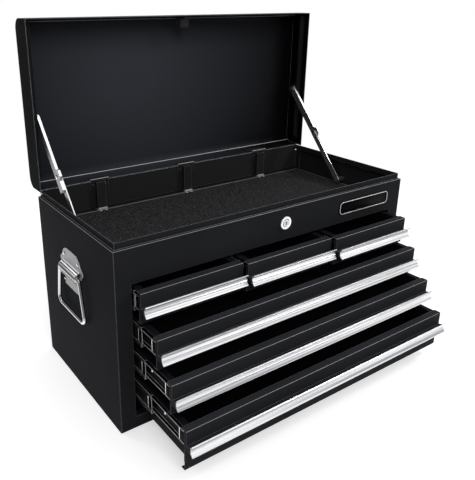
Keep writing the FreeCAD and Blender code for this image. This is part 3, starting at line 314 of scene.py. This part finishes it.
def polished_chrome(name):
    """Bright plating with painted dark and light reflection bands, like those a rounded mirror shows."""
    finish = Finish(name)
    bands = finish.turned_to(direction=(-0.35, -0.45, 0.82), waves=6.0)
    smear = finish.noise(scale=40.0, detail=3.0)
    # painted reflection: the colour swings between dark and light with each face's turn
    colour = finish.blend(bands, grey(70, 2), grey(250, 1))
    relief = finish.bump(finish.noise(scale=900.0), strength=0.04, distance=0.00003)
    return finish.finish(Base_Color=colour, Roughness=finish.ramp(smear, 0.10, 0.20), Normal=relief,
                         Metallic=1.0)


ROLL_START_X = 332.6         # mm, where the handle plate leaves the wall
ROLL_END_X = 333.4


def nickel_plate(name):
    """Satin plate with a painted highlight on its rim, and painted dark and light reflection lines where it
    rolls over the barrel.
    """
    finish = Finish(name)
    cloud = finish.noise(scale=30.0, detail=3.0)
    flat = finish.blend(finish.share(cloud), grey(146, 2), grey(164, 2))
    lines = finish.share(finish.noise(scale=330.0, detail=1.0, stretch=(1, 0.006, 1)), 0.42, 0.58)
    # painted reflections: dark and light streaks along the barrel where the plate rolls over it
    painted_roll_reflections = finish.blend(lines, grey(40, 2), grey(225, 1))
    rolled = finish.share(finish.calculate("ABSOLUTE", finish.along(0)), ROLL_START_X, ROLL_END_X)
    colour = finish.blend(rolled, flat, painted_roll_reflections)
    # painted highlight along the rim and edges
    colour = finish.blend(finish.edges(0.0009), colour, grey(252))
    relief = finish.bump(cloud, strength=0.1, distance=0.0001)
    return finish.finish(Base_Color=colour, Roughness=finish.ramp(cloud, 0.36, 0.5), Normal=relief,
                         Metallic=0.7, Specular_IOR_Level=0.1)


def stay_plate(name):
    """Zinc painted bright on the narrow sides of a stay's arms as a highlight, and darker on their broad
    faces as shade.
    """
    finish = Finish(name)
    sideways = finish.split(finish.facing)[0]
    broad = finish.share(finish.calculate("ABSOLUTE", sideways), 0.4, 0.9)
    smear = finish.noise(scale=120.0, detail=3.0, stretch=(1, 0.3, 0.3))
    bright = finish.blend(finish.share(smear), grey(236, 1), grey(254))
    # painted highlight on the narrow sides, painted shade on the broad faces
    colour = finish.blend(broad, bright, grey(150, 3))
    relief = finish.bump(smear, strength=0.1, distance=0.0001)
    return finish.finish(Base_Color=colour, Roughness=finish.ramp(smear, 0.18, 0.34), Normal=relief,
                         Metallic=0.8)


def brushed_aluminium(name):
    """Anodised pull: long brush lines, with darker drawn lines along the extrusion; faces turned away from
    the front are painted darker as shade, and the edges carry a painted highlight.
    """
    finish = Finish(name)
    brush = finish.noise(scale=1400.0, detail=3.0, stretch=(0.012, 1, 1))
    lines = finish.share(finish.noise(scale=430.0, detail=1.0, stretch=(0.004, 0.3, 1)), 0.38, 0.62)
    slope = finish.blend(lines, grey(118, 6), grey(190, 4))
    web = finish.blend(lines, grey(160, 5), grey(236, 2))
    upright = finish.turned_to(direction=(0, -1, 0), waves=math.pi / 2)
    # painted shade: faces that do not turn to the front take the darker tone
    colour = finish.blend(finish.share(upright, 0.90, 0.99), slope, web)
    # painted highlight along the edges
    colour = finish.blend(finish.edges(0.0011), colour, grey(254))
    relief = finish.bump(brush, strength=0.3, distance=0.00004)
    return finish.finish(Base_Color=colour, Roughness=finish.ramp(brush, 0.24, 0.40), Normal=relief,
                         Metallic=0.85)


def rubber_mat(name):
    """Pebbled liner with pale flecks."""
    finish = Finish(name)
    pebble = finish.noise(scale=210.0, detail=4.0)
    fleck = finish.ramp(finish.noise(scale=420.0), 0.0, 0.6, start=0.60, end=0.72)
    body = finish.blend(finish.share(pebble), grey(8, 1), grey(47, 2))
    relief = finish.bump(pebble, strength=0.8, distance=0.0006, rounding=0)
    return finish.finish(Base_Color=finish.blend(fleck, body, grey(86, 2)),
                         Roughness=finish.ramp(pebble, 0.7, 0.95), Normal=relief, Specular_IOR_Level=0.08)


def moulded_plastic(name, tone):
    """Matt plastic or enamel with a fine grain."""
    finish = Finish(name)
    grain = finish.noise(scale=500.0)
    colour = finish.blend(finish.share(grain), grey(tone - 4), grey(tone + 4))
    relief = finish.bump(grain, strength=0.2, distance=0.0001, rounding=0.0006)
    return finish.finish(Base_Color=colour, Roughness=finish.ramp(grain, 0.35, 0.5), Normal=relief,
                         Specular_IOR_Level=0.02)


# The second tone of each coat is its painted edge highlight.
SHELL_COAT = powder_coat("shell_powder_coat", 36, 150, gloss=0.003, edge_share=0.65, hollow=CASE_HOLLOW)
# The lid's coat is the case's black painted far darker, tone 10, as shade, with a wider painted fold
# highlight.
LID_COAT = powder_coat("lid_powder_coat", 10, 190, gloss=0.003, fold=0.74, hollow=LID_HOLLOW)
FRONT_COAT = powder_coat("drawer_front_coat", 40, 175, gloss=0.006, sheen=(0.26, 0.36), fold=0.93,
                         edge_share=0.35)
# Darker copies of the same black coat, with dimmer painted edge highlights, for the drawer boxes and the
# parts inside the chest: painted shade.
BOX_COAT = powder_coat("drawer_box_coat", 17, 70, gloss=0.02, sheen=(0.4, 0.55))
INSIDE_COAT = powder_coat("inside_coat", 26, 60, gloss=0.02, sheen=(0.4, 0.55))
ALUMINIUM = brushed_aluminium("brushed_aluminium")
# The rails carry a painted white highlight along their edges.
BLACK_ZINC = metal("black_zinc_rail", 14, (0.30, 0.46), metallic=0.3, gloss=0.06, edge_highlight_tone=255,
                   edge_radius=0.0013)
RIB = metal("black_zinc_rib", 40, (0.30, 0.46), metallic=0.3, gloss=0.06)
ZINC = metal("zinc_plated_steel", 190, (0.25, 0.40))
CHROME = polished_chrome("polished_chrome")
STAY = stay_plate("stay_zinc")
BRIGHT = metal("bright_nickel", 246, (0.15, 0.3))
CLIP = metal("clip_plate", 165, (0.3, 0.45), metallic=0.4, gloss=0.1)
STRIP = metal("mat_edge_strip", 100, (0.3, 0.5), metallic=0.3, gloss=0.1)
PLATE = nickel_plate("nickel_plate")
MAT = rubber_mat("pebbled_rubber")
PLASTIC = moulded_plastic("black_plastic", 9)
ENAMEL = moulded_plastic("badge_enamel", 3)


def paint(material, *names):
    for name in names:
        slots = NODES[name].data.materials
        slots.clear()
        slots.append(material)


def paint_nodes():
    paint(SHELL_COAT, *NODES)
    paint(LID_COAT, "lid_shell")
    paint(INSIDE_COAT, "bottom_pan", "till_floor", "slide_posts", "slide_dividers", "lid_stiffeners")
    paint(MAT, "till_mat")
    paint(BLACK_ZINC, "cabinet_rails")
    paint(STAY, "stay_lower_left", "stay_lower_right", "stay_upper_left", "stay_upper_right")
    paint(ZINC, "hinge_pins", "stay_body_studs", "stay_lid_studs", "lock_cam")
    paint(ZINC, "lock_housing", "lock_plug", "lock_bar_guides")
    paint(RIB, "lid_striker")
    paint(CHROME, "handle_bail_left", "handle_bail_right")
    paint(PLATE, "handle_plates")
    for drawer in DRAWERS:
        paint(ALUMINIUM, f"drawer_{drawer}_pull")
        paint(BLACK_ZINC, f"drawer_{drawer}_rails", f"drawer_{drawer}_middle_rails")
        paint(FRONT_COAT, f"drawer_{drawer}_front")
        paint(BOX_COAT, f"drawer_{drawer}_box")


# ---------------------------------------------------------------- piece helpers
WELD = 0.001                 # mm, points closer than this are one point
RIVET_SINK = 0.2             # a rivet's head starts this far below the face
RIVET_DOME = (               # shares of the head's radius and of its height
    (1.0, 0.3), (0.82, 0.75), (0.45, 0.97), (0.0, 1.0))


def piece(name, bm, material, body, soft=35):
    """Turn a bmesh in millimetres into a piece that rides a body; edges up to soft degrees look smooth."""
    bmesh.ops.remove_doubles(bm, verts=bm.verts, dist=WELD)
    bmesh.ops.recalc_face_normals(bm, faces=bm.faces)
    bmesh.ops.scale(bm, vec=(MM, MM, MM), verts=bm.verts)
    for face in bm.faces:
        face.smooth = True
    mesh = bpy.data.meshes.new(name)
    bm.to_mesh(mesh)
    bm.free()
    mesh.set_sharp_from_angle(angle=math.radians(soft))
    mesh.materials.append(material)
    item = bpy.data.objects.new(name, mesh)
    bpy.context.collection.objects.link(item)
    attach(item, body)
    return item


def facing(axis):
    """The turn that carries the Z axis onto an axis."""
    return Vector((0, 0, 1)).rotation_difference(Vector(axis)).to_matrix().to_4x4()


def add_turned(bm, outline, spot, axis, steps=24):
    """Spin an outline of (radius, height) points about an axis through a spot."""
    place = Matrix.Translation(spot) @ facing(axis)
    points = [bm.verts.new(place @ Vector((radius, 0, height))) for radius, height in outline]
    lines = [bm.edges.new(pair) for pair in zip(points, points[1:])]
    bmesh.ops.spin(bm, geom=points + lines, cent=spot, axis=place.to_3x3() @ Vector((0, 0, 1)),
                   angle=math.tau, steps=steps, use_merge=True)
    bmesh.ops.remove_doubles(bm, verts=bm.verts, dist=WELD)


def add_rivet(bm, spot, axis, radius, height):
    """A domed head with a flat underside."""
    outline = [(0, -RIVET_SINK), (radius, -RIVET_SINK)]
    outline += [(radius * wide, height * tall) for wide, tall in RIVET_DOME]
    add_turned(bm, outline, spot, axis)


def add_block(bm, low, high):
    """A plain block between two corners, to be worked further; returns its edges."""
    low, high = Vector(low), Vector(high)
    made = bmesh.ops.create_cube(bm, size=1.0)["verts"]
    bmesh.ops.scale(bm, vec=high - low, verts=made)
    bmesh.ops.translate(bm, vec=(high + low) / 2, verts=made)
    return list(dict.fromkeys(line for vert in made for line in vert.link_edges))


def add_bar(bm, low, high, bevel, segments=2):
    """A bar between two corners with its edges rounded."""
    bmesh.ops.bevel(bm, geom=add_block(bm, low, high), offset=bevel, offset_type="OFFSET", segments=segments,
                    profile=0.5, affect="EDGES", material=-1, clamp_overlap=True)


def add_plate(bm, low, high, corner, steps=5):
    """A flat plate facing forward with rounded corners; returns its front face."""
    lines = [line for line in add_block(bm, low, high)
             if abs(line.verts[0].co.y - line.verts[1].co.y) > WELD]
    bmesh.ops.bevel(bm, geom=lines, offset=corner, offset_type="OFFSET", segments=steps, profile=0.5,
                    affect="EDGES", material=-1)
    bm.faces.ensure_lookup_table()
    return min(bm.faces, key=lambda face: face.calc_center_median().y)


# ---------------------------------------------------------------- carrying handles
BARREL_END = 24.1            # rod starts inside the barrel
LEG_REACH = 41.5
LEG_BEND = 5.0
GRIP_REACH = 57.5
GRIP_BEND = 12.0
HANDLE_PLATE = 1.5           # thickness
HANDLE_RIVETS = (            # along the wall, up, head radius
    (29.5, 24.5, 3.4), (-29.5, 24.5, 3.4), (31.0, -25.0, 2.8), (-31.0, -25.0, 2.8))
HANDLE_RIVET_HEIGHT = 1.8
COLLAR_REACH = 36.2
COLLAR_OUTLINE = (           # radius, out along the rod
    (3.6, -0.4), (5.3, -0.4), (5.3, 0.9), (4.9, 1.5), (3.9, 1.7), (3.6, 1.4), (3.6, -0.4))


def pushed(bm, faces, move):
    """Extrude a rod's end face and move it; returns the new end face."""
    grown = bmesh.ops.extrude_face_region(bm, geom=faces)["geom"]
    bmesh.ops.translate(bm, vec=move,
                        verts=[part for part in grown if isinstance(part, bmesh.types.BMVert)])
    return [part for part in grown if isinstance(part, bmesh.types.BMFace)]


def add_bent_rod(bm, route, bends, radius, sides=20, steps=8):
    """Sweep a round rod along a route, with a spin for each bend."""
    here, ahead = route[0], (route[1] - route[0]).normalized()
    place = Matrix.Translation(here) @ facing(ahead)
    ring = bmesh.ops.create_circle(bm, cap_ends=True, radius=radius, segments=sides, matrix=place)["verts"]
    end = list(dict.fromkeys(face for vert in ring for face in vert.link_faces))
    for before, corner, beyond, bend in zip(route, route[1:], route[2:], bends):
        ahead = (corner - before).normalized()
        after = (beyond - corner).normalized()
        turn = ahead.angle(after)
        setback = bend * math.tan(turn / 2)
        stop = corner - ahead * setback
        end = pushed(bm, end, stop - here)
        axis = ahead.cross(after).normalized()
        centre = stop + axis.cross(ahead).normalized() * bend
        spun = bmesh.ops.spin(bm, geom=end, cent=centre, axis=axis, angle=turn, steps=steps, use_merge=False)
        fresh = [part for part in spun["geom_last"] if isinstance(part, bmesh.types.BMFace)]
        bmesh.ops.delete(bm, geom=end, context="FACES_ONLY")
        end = fresh
        here = corner + after * setback
    pushed(bm, end, route[-1] - here)


def build_bail(side, axle, rod_radius, grip_drop):
    """One smooth rod that replaces the mitred bail."""
    half = [(BARREL_END, 0), (LEG_REACH, 0), (GRIP_REACH, -grip_drop)]
    route = [axle + Vector((0, reach, rise)) for reach, rise in half]
    route += [axle + Vector((0, -reach, rise)) for reach, rise in reversed(half)]
    bm = bmesh.new()
    add_bent_rod(bm, route, (LEG_BEND, GRIP_BEND, GRIP_BEND, LEG_BEND), rod_radius)
    bail = piece(f"bail_rod_{side}", bm, CHROME, f"bail_{side}", soft=50)
    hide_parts(f"handle_bail_{side}")


def build_handles():
    wall_x = corners("side_panel_right")[1].x
    for side, sense in SIDES:
        low, high = corners(f"handle_bail_{side}")
        rod_radius = (high.x - low.x) / 2
        axle = Vector(((low.x + high.x) / 2, (low.y + high.y) / 2, high.z - rod_radius))
        build_bail(side, axle, rod_radius, axle.z - rod_radius - low.z)

        bm = bmesh.new()
        for reach, rise, radius in HANDLE_RIVETS:
            spot = Vector((sense * (wall_x + HANDLE_PLATE), axle.y + reach, axle.z + rise))
            add_rivet(bm, spot, (sense, 0, 0), radius, HANDLE_RIVET_HEIGHT)
        piece(f"handle_rivets_{side}", bm, CHROME, "cabinet")

        bm = bmesh.new()
        for end in (-1, 1):
            add_turned(bm, COLLAR_OUTLINE, axle + Vector((0, end * COLLAR_REACH, 0)), (0, end, 0))
        piece(f"barrel_collars_{side}", bm, CHROME, "cabinet")


# ---------------------------------------------------------------- front fittings
BADGE_LEFT = 150.0
BADGE_DROP = 27.8            # top edge below the rim
BADGE_WIDTH = 140.5
BADGE_HEIGHT = 27.6
BADGE_PROUD = 0.9
BADGE_SINK = 0.1
BADGE_CORNER = 8.5
BADGE_CHAMFER = 0.4
BADGE_CROWN = 0.25
BADGE_RIM_INSET = 1.3
BADGE_RIM_WIDTH = 1.4
BADGE_RIM_HEIGHT = 1.0
BADGE_RIM_CORNER = 7.3
BEZEL_LIP = (                # radius, out from the lock's face
    (7.4, 0.0), (12.3, 0.0), (12.2, 0.6), (11.4, 1.2), (9.6, 1.35), (8.0, 0.9), (7.4, 0.3), (7.4, 0.0))
PLUG_RIM = ((4.6, 0.0), (5.9, 0.0), (5.9, 0.3), (5.4, 0.5), (4.9, 0.5), (4.6, 0.3), (4.6, 0.0))


def build_badge_place():
    """A bare enamelled plate with a raised bright rim."""
    panel_low, panel_high = corners("front_frame")
    top = panel_high.z - BADGE_DROP
    low = Vector((BADGE_LEFT, panel_low.y - BADGE_PROUD, top - BADGE_HEIGHT))
    high = Vector((BADGE_LEFT + BADGE_WIDTH, panel_low.y + BADGE_SINK, top))
    bm = bmesh.new()
    face = add_plate(bm, low, high, BADGE_CORNER)
    bmesh.ops.inset_region(bm, faces=[face], thickness=BADGE_CHAMFER, depth=BADGE_CROWN)
    piece("badge_plate", bm, ENAMEL, "cabinet")

    inset = Vector((BADGE_RIM_INSET, 0, BADGE_RIM_INSET))
    rim_low = low + inset - Vector((0, BADGE_RIM_HEIGHT, 0))
    rim_high = Vector((high.x, low.y, high.z)) - inset
    bm = bmesh.new()
    front = add_plate(bm, rim_low, rim_high, BADGE_RIM_CORNER)
    back = max(bm.faces, key=lambda face: face.calc_center_median().y)
    for face in (front, back):
        bmesh.ops.inset_region(bm, faces=[face], thickness=BADGE_RIM_WIDTH)
    bmesh.ops.bridge_loops(bm, edges=[line for face in (front, back) for line in face.edges])
    bmesh.ops.delete(bm, geom=[front, back], context="FACES_ONLY")
    piece("badge_rim", bm, ZINC, "cabinet")


def build_lock_ring(name, outline, node, body, steps):
    """A bright ring about the lock's axis, on the front face of one of its parts."""
    middle = middle_of("lock_housing")
    bm = bmesh.new()
    add_turned(bm, outline, Vector((middle.x, corners(node)[0].y, middle.z)), (0, -1, 0), steps)
    piece(name, bm, BRIGHT, body)


def build_lock_face():
    build_lock_ring("lock_bezel_lip", BEZEL_LIP, "lock_housing", "cabinet", steps=40)
    build_lock_ring("lock_plug_rim", PLUG_RIM, "lock_plug", "lock", steps=32)


# ---------------------------------------------------------------- shell fittings
SHEET = 1.2
RIM_INSET = 5.0              # the rim stands inside the side panels
RIM_RIVET_FORWARD = 7.0      # from the side panel's rear edge
RIM_RIVET_DROP = 5.0
RIM_RIVET = (2.4, 1.0)       # head radius, height
HINGE_LENGTH = 40.0
HINGE_RIVET_SPREAD = 13.0
HINGE_RIVET_RISE = 7.0       # above the leaf's lower edge
HINGE_RIVET = (2.3, 0.9)


def hinge_places():
    """The middle of each hinge along the chest."""
    last = corners("hinge_body_leaves")[1].x - HINGE_LENGTH / 2
    return (-last, 0.0, last)


def build_rim_rivets():
    bm = bmesh.new()
    for side, sense in SIDES:
        low, high = corners(f"side_panel_{side}")
        outer = high.x if sense > 0 else low.x
        spot = Vector((outer - sense * RIM_INSET, high.y - RIM_RIVET_FORWARD, high.z - RIM_RIVET_DROP))
        add_rivet(bm, spot, (sense, 0, 0), *RIM_RIVET)
    piece("rim_rivets", bm, ZINC, "cabinet")


def build_hinge_rivets():
    """Painted heads on the leaves, inside the back panel."""
    leaf_y = corners("back_panel")[1].y - 2 * SHEET
    rivet_z = corners("hinge_body_leaves")[0].z + HINGE_RIVET_RISE
    bm = bmesh.new()
    for x in hinge_places():
        for reach in (-HINGE_RIVET_SPREAD, HINGE_RIVET_SPREAD):
            add_rivet(bm, Vector((x + reach, leaf_y, rivet_z)), (0, -1, 0), *HINGE_RIVET)
    piece("hinge_rivets", bm, SHELL_COAT, "cabinet")


# ---------------------------------------------------------------- till fittings
CLIP_HALF_LENGTH = 9.5
CLIP_FRONT = -1.8            # from the guide's front face
CLIP_BACK = 0.8
CLIP_LIFT = 1.2              # above the mat
CLIP_TOP = 2.0               # above the guide
CLIP_BEVEL = 0.8
FOOT_PLACES = (-7.0, 5.0)    # along the clip
FOOT_HALF_WIDTH = 2.2
FOOT_FRONT = -3.8            # from the mat's rear edge
FOOT_BACK = 2.2
FOOT_BOTTOM = 0.1            # above the mat
FOOT_TOP = 1.4
FOOT_BEVEL = 0.5
STRIP_GAP = 0.1              # from the mat's edge
STRIP_SINK = 1.0             # below the mat's top
STRIP_BEVEL = 0.5
REAR_STRIP_WIDTH = 1.7
REAR_STRIP_RISE = 1.4
REAR_STRIP_INSET = 0.8
SIDE_STRIP_WIDTH = 1.4
SIDE_STRIP_RISE = 1.0
SIDE_STRIP_FRONT_INSET = 0.3
SIDE_STRIP_REAR_INSET = 0.8


def build_guide_clips():
    """Small bright clips, each with two feet, along the mat's rear edge."""
    guide_low, guide_high = corners("lock_bar_guides")
    mat_high = corners("till_mat")[1]
    bm = bmesh.new()
    for x in hinge_places():
        add_bar(bm, (x - CLIP_HALF_LENGTH, guide_low.y + CLIP_FRONT, mat_high.z + CLIP_LIFT),
                (x + CLIP_HALF_LENGTH, guide_low.y + CLIP_BACK, guide_high.z + CLIP_TOP), CLIP_BEVEL)
        for place in FOOT_PLACES:
            foot = x + place
            add_bar(bm, (foot - FOOT_HALF_WIDTH, mat_high.y + FOOT_FRONT, mat_high.z + FOOT_BOTTOM),
                    (foot + FOOT_HALF_WIDTH, mat_high.y + FOOT_BACK, mat_high.z + FOOT_TOP), FOOT_BEVEL)
    piece("guide_clips", bm, CLIP, "cabinet")


def build_mat_edge_strips():
    """Thin strips along the mat's rear edge and its two sides."""
    low, high = corners("till_mat")
    bm = bmesh.new()
    rear = high.y + STRIP_GAP
    add_bar(bm, (low.x + REAR_STRIP_INSET, rear, high.z - STRIP_SINK),
            (high.x - REAR_STRIP_INSET, rear + REAR_STRIP_WIDTH, high.z + REAR_STRIP_RISE), STRIP_BEVEL)
    for sense in (-1, 1):
        inner = sense * (high.x + STRIP_GAP)
        left, right = sorted((inner, inner + sense * SIDE_STRIP_WIDTH))
        add_bar(bm, (left, low.y + SIDE_STRIP_FRONT_INSET, high.z - STRIP_SINK),
                (right, high.y - SIDE_STRIP_REAR_INSET, high.z + SIDE_STRIP_RISE), STRIP_BEVEL)
    piece("mat_edge_strips", bm, STRIP, "cabinet")


# ---------------------------------------------------------------- lid stays
STAY_LOWER_LENGTH = 123.0    # body pivot to elbow
ELBOW_HEAD_RADIUS = 4.4
END_HEAD_RADIUS = 4.0
UPPER_HEADS = (1.6, 1.4)     # heights at the elbow and at the lid
LOWER_HEADS = (1.5, 1.5)     # heights at the elbow and at the body


def build_stay_rivets():
    """Each half of a rivet rides its own arm."""
    body_pivot = middle_of("stay_body_studs")
    lid_pivot = middle_of("stay_lid_studs")
    elbow = body_pivot + (lid_pivot - body_pivot).normalized() * STAY_LOWER_LENGTH
    for side, sense in SIDES:
        low, high = corners(f"stay_upper_{side}")
        inner, outer = (low.x, high.x) if sense > 0 else (high.x, low.x)
        low, high = corners(f"stay_lower_{side}")
        bar_inner = low.x if sense > 0 else high.x
        inward, outward = (-sense, 0, 0), (sense, 0, 0)

        bm = bmesh.new()
        add_rivet(bm, Vector((outer, elbow.y, elbow.z)), outward, ELBOW_HEAD_RADIUS, UPPER_HEADS[0])
        add_rivet(bm, Vector((inner, lid_pivot.y, lid_pivot.z)), inward, END_HEAD_RADIUS, UPPER_HEADS[1])
        piece(f"stay_upper_rivets_{side}", bm, CHROME, f"stay_upper_{side}")

        bm = bmesh.new()
        add_rivet(bm, Vector((bar_inner, elbow.y, elbow.z)), inward, ELBOW_HEAD_RADIUS, LOWER_HEADS[0])
        add_rivet(bm, Vector((bar_inner, body_pivot.y, body_pivot.z)), inward, END_HEAD_RADIUS,
                  LOWER_HEADS[1])
        piece(f"stay_lower_rivets_{side}", bm, CHROME, f"stay_lower_{side}")


# ---------------------------------------------------------------- slides
class RailBar(NamedTuple):
    """A bar on a rail, in millimetres."""
    near: float              # out from the drawer's side
    far: float
    start: float             # behind the rail's front end
    stop: float
    half_height: float       # above and below its own centre line
    bevel: float
    segments: int = 2


RAIL_REACH = 6.4             # the drawer rail stands this far out from the drawer's side
END_CAP = RailBar(near=1.3, far=6.2, start=-1.2, stop=11.0, half_height=10.6, bevel=1.4, segments=3)
END_BAR = RailBar(near=1.3, far=6.2, start=11.6, stop=13.4, half_height=10.4, bevel=0.6)
RAIL_RIB = RailBar(near=1.1, far=2.0, start=16.0, stop=52.0, half_height=0.8, bevel=0.38)
RAIL_RIB_RISE = 3.4
RAIL_RIVETS = (60.0, 205.0)  # behind the rail's front end
RAIL_RIVET_REACH = 1.2
RAIL_RIVET_RISE = 1.5
RAIL_RIVET = (2.3, 1.2)      # head radius, height
BUMPER = RailBar(near=7.95, far=8.75, start=0.4, stop=8.5, half_height=10.8, bevel=0.35)
END_HOOK = RailBar(near=7.95, far=8.75, start=9.0, stop=11.0, half_height=11.0, bevel=0.35)
MIDDLE_RIB = RailBar(near=7.95, far=8.75, start=13.0, stop=60.0, half_height=1.0, bevel=0.38)
MIDDLE_RIB_RISE = 5.2
MIDDLE_RIVET_PLACE = 20.0
MIDDLE_RIVET_REACH = 7.9
MIDDLE_RIVET = (2.3, 0.85)


def add_rail_bar(bm, bar, side_x, sense, front, z):
    left, right = sorted((side_x + sense * bar.near, side_x + sense * bar.far))
    add_bar(bm, (left, front + bar.start, z - bar.half_height),
            (right, front + bar.stop, z + bar.half_height), bar.bevel, bar.segments)


def build_drawer_rail_fittings(drawer, sides, front, z):
    """Black end caps, bright end bars, rivets and pressed ribs on the drawer's own rails."""
    caps, rivets, ribs = (bmesh.new() for _ in range(3))
    for side_x, sense in sides:
        add_rail_bar(caps, END_CAP, side_x, sense, front, z)
        add_rail_bar(rivets, END_BAR, side_x, sense, front, z)
        for place in RAIL_RIVETS:
            spot = Vector((side_x + sense * RAIL_RIVET_REACH, front + place, z + RAIL_RIVET_RISE))
            add_rivet(rivets, spot, (sense, 0, 0), *RAIL_RIVET)
        for rise in (-RAIL_RIB_RISE, RAIL_RIB_RISE):
            add_rail_bar(ribs, RAIL_RIB, side_x, sense, front, z + rise)
    piece(f"drawer_{drawer}_rail_caps", caps, PLASTIC, f"drawer_{drawer}")
    piece(f"drawer_{drawer}_rail_rivets", rivets, BRIGHT, f"drawer_{drawer}")
    piece(f"drawer_{drawer}_rail_ribs", ribs, RIB, f"drawer_{drawer}")


def build_middle_rail_fittings(drawer, sides, front, z):
    """Black bumpers, bright end hooks, and pressed ribs with a rivet on the middle rails."""
    bumpers, hooks, ribs = (bmesh.new() for _ in range(3))
    for side_x, sense in sides:
        add_rail_bar(bumpers, BUMPER, side_x, sense, front, z)
        add_rail_bar(hooks, END_HOOK, side_x, sense, front, z)
        for rise in (-MIDDLE_RIB_RISE, MIDDLE_RIB_RISE):
            add_rail_bar(ribs, MIDDLE_RIB, side_x, sense, front, z + rise)
        spot = Vector((side_x + sense * MIDDLE_RIVET_REACH, front + MIDDLE_RIVET_PLACE, z))
        add_rivet(ribs, spot, (sense, 0, 0), *MIDDLE_RIVET)
    piece(f"slide_{drawer}_bumpers", bumpers, PLASTIC, f"slide_{drawer}")
    piece(f"slide_{drawer}_end_hooks", hooks, BRIGHT, f"slide_{drawer}")
    piece(f"slide_{drawer}_ribs", ribs, RIB, f"slide_{drawer}")


def build_slide_fittings():
    for drawer in DRAWERS:
        low, high = corners(f"drawer_{drawer}_rails")
        sides = ((low.x + RAIL_REACH, -1), (high.x - RAIL_REACH, 1))
        z = (low.z + high.z) / 2
        build_drawer_rail_fittings(drawer, sides, low.y, z)
        build_middle_rail_fittings(drawer, sides, corners(f"drawer_{drawer}_middle_rails")[0].y, z)


# ---------------------------------------------------------------- floor and light
WHITE = (1, 1, 1, 1)
BLACK = (0.0, 0.0, 0.0, 1)
FLOOR_SIZE = 30.0            # metres
FLOOR_DARK = (0.74, 0.74, 0.74, 1)
FLOOR_PALE = (0.76, 0.76, 0.76, 1)
SHADOW_NEAR = 0.7            # metres from the middle, where the floor starts to lose its shadow
SHADOW_FAR = 1.5             # and has none left
GLOW_NEAR = 0.6              # where its own white starts to grow
GLOW_FAR = 1.4               # and is full
GLOW_UNDER = 0.52
GLOW_OUTSIDE = 1.0
SURROUND_LIGHT = 0.45        # what the surround gives to matt faces
SURROUND_SEEN = 1.0
LAMPS = (                    # name, place, aim, size in metres, watts
    ("key_lamp", (-0.9, -2.9, 2.4), (0, 0, 0.3), 1.4, 38),
    ("front_edge_lamp", (1.6, -1.1, 2.0), (0, -0.1, 0.3), 0.5, 24),
    ("left_edge_lamp", (-1.2, 1.7, 1.9), (-0.2, 0, 0.3), 0.5, 8),
    ("top_lamp", (0.1, 0.2, 3.0), (0, 0, 0.2), 1.6, 15))


def floor_white():
    """White paper that keeps the shadow near the chest and turns into plain white away from it."""
    finish = Finish("studio_floor")
    reach = finish.add("ShaderNodeVectorMath", operation="LENGTH")
    finish.put(finish.place, reach.inputs[0])
    distance = reach.outputs["Value"]
    near = finish.blend(finish.share(finish.noise(scale=3.0)), FLOOR_DARK, FLOOR_PALE)
    colour = finish.blend(finish.share(distance, SHADOW_NEAR, SHADOW_FAR), near, BLACK)
    path = finish.add("ShaderNodeLightPath")
    seen = finish.calculate("MAXIMUM", path.outputs["Is Camera Ray"], path.outputs["Is Glossy Ray"])
    white = finish.ramp(distance, GLOW_UNDER, GLOW_OUTSIDE, GLOW_NEAR, GLOW_FAR)
    glow = finish.calculate("MULTIPLY", seen, white)
    return finish.finish(Base_Color=colour, Roughness=0.9, Emission_Strength=glow, Emission_Color=WHITE,
                         Specular_IOR_Level=0.0)


def build_floor():
    bm = bmesh.new()
    bmesh.ops.create_grid(bm, x_segments=1, y_segments=1, size=FLOOR_SIZE)
    mesh = bpy.data.meshes.new("floor")
    bm.to_mesh(mesh)
    bm.free()
    mesh.materials.append(floor_white())
    floor = bpy.data.objects.new("floor", mesh)
    bpy.context.collection.objects.link(floor)


def build_surround():
    """A surround that is white where it is seen, directly or in metal, and gives a weaker light."""
    world = bpy.data.worlds.new("studio")
    bpy.context.scene.world = world
    world.use_nodes = True
    tree = world.node_tree
    path = tree.nodes.new("ShaderNodeLightPath")
    seen = tree.nodes.new("ShaderNodeMath")
    seen.operation = "MAXIMUM"
    tree.links.new(path.outputs["Is Camera Ray"], seen.inputs[0])
    tree.links.new(path.outputs["Is Glossy Ray"], seen.inputs[1])
    level = tree.nodes.new("ShaderNodeMapRange")
    level.inputs["To Min"].default_value = SURROUND_LIGHT
    level.inputs["To Max"].default_value = SURROUND_SEEN
    tree.links.new(seen.outputs[0], level.inputs["Value"])
    surround = tree.nodes["Background"]
    tree.links.new(level.outputs["Result"], surround.inputs["Strength"])
    surround.inputs["Color"].default_value = WHITE


def place_lamps():
    for name, spot, aim, size, power in LAMPS:
        light = bpy.data.lights.new(name, "AREA")
        light.size = size
        light.energy = power
        lamp = bpy.data.objects.new(name, light)
        lamp.location = spot
        lamp.rotation_euler = (Vector(aim) - Vector(spot)).to_track_quat("-Z", "Y").to_euler()
        bpy.context.collection.objects.link(lamp)


place_camera()
paint_nodes()
build_handles()
build_badge_place()
build_lock_face()
build_rim_rivets()
build_hinge_rivets()
build_guide_clips()
build_mat_edge_strips()
build_stay_rivets()
build_slide_fittings()
build_floor()
build_surround()
place_lamps()
bpy.context.scene.view_settings.view_transform = "Standard"
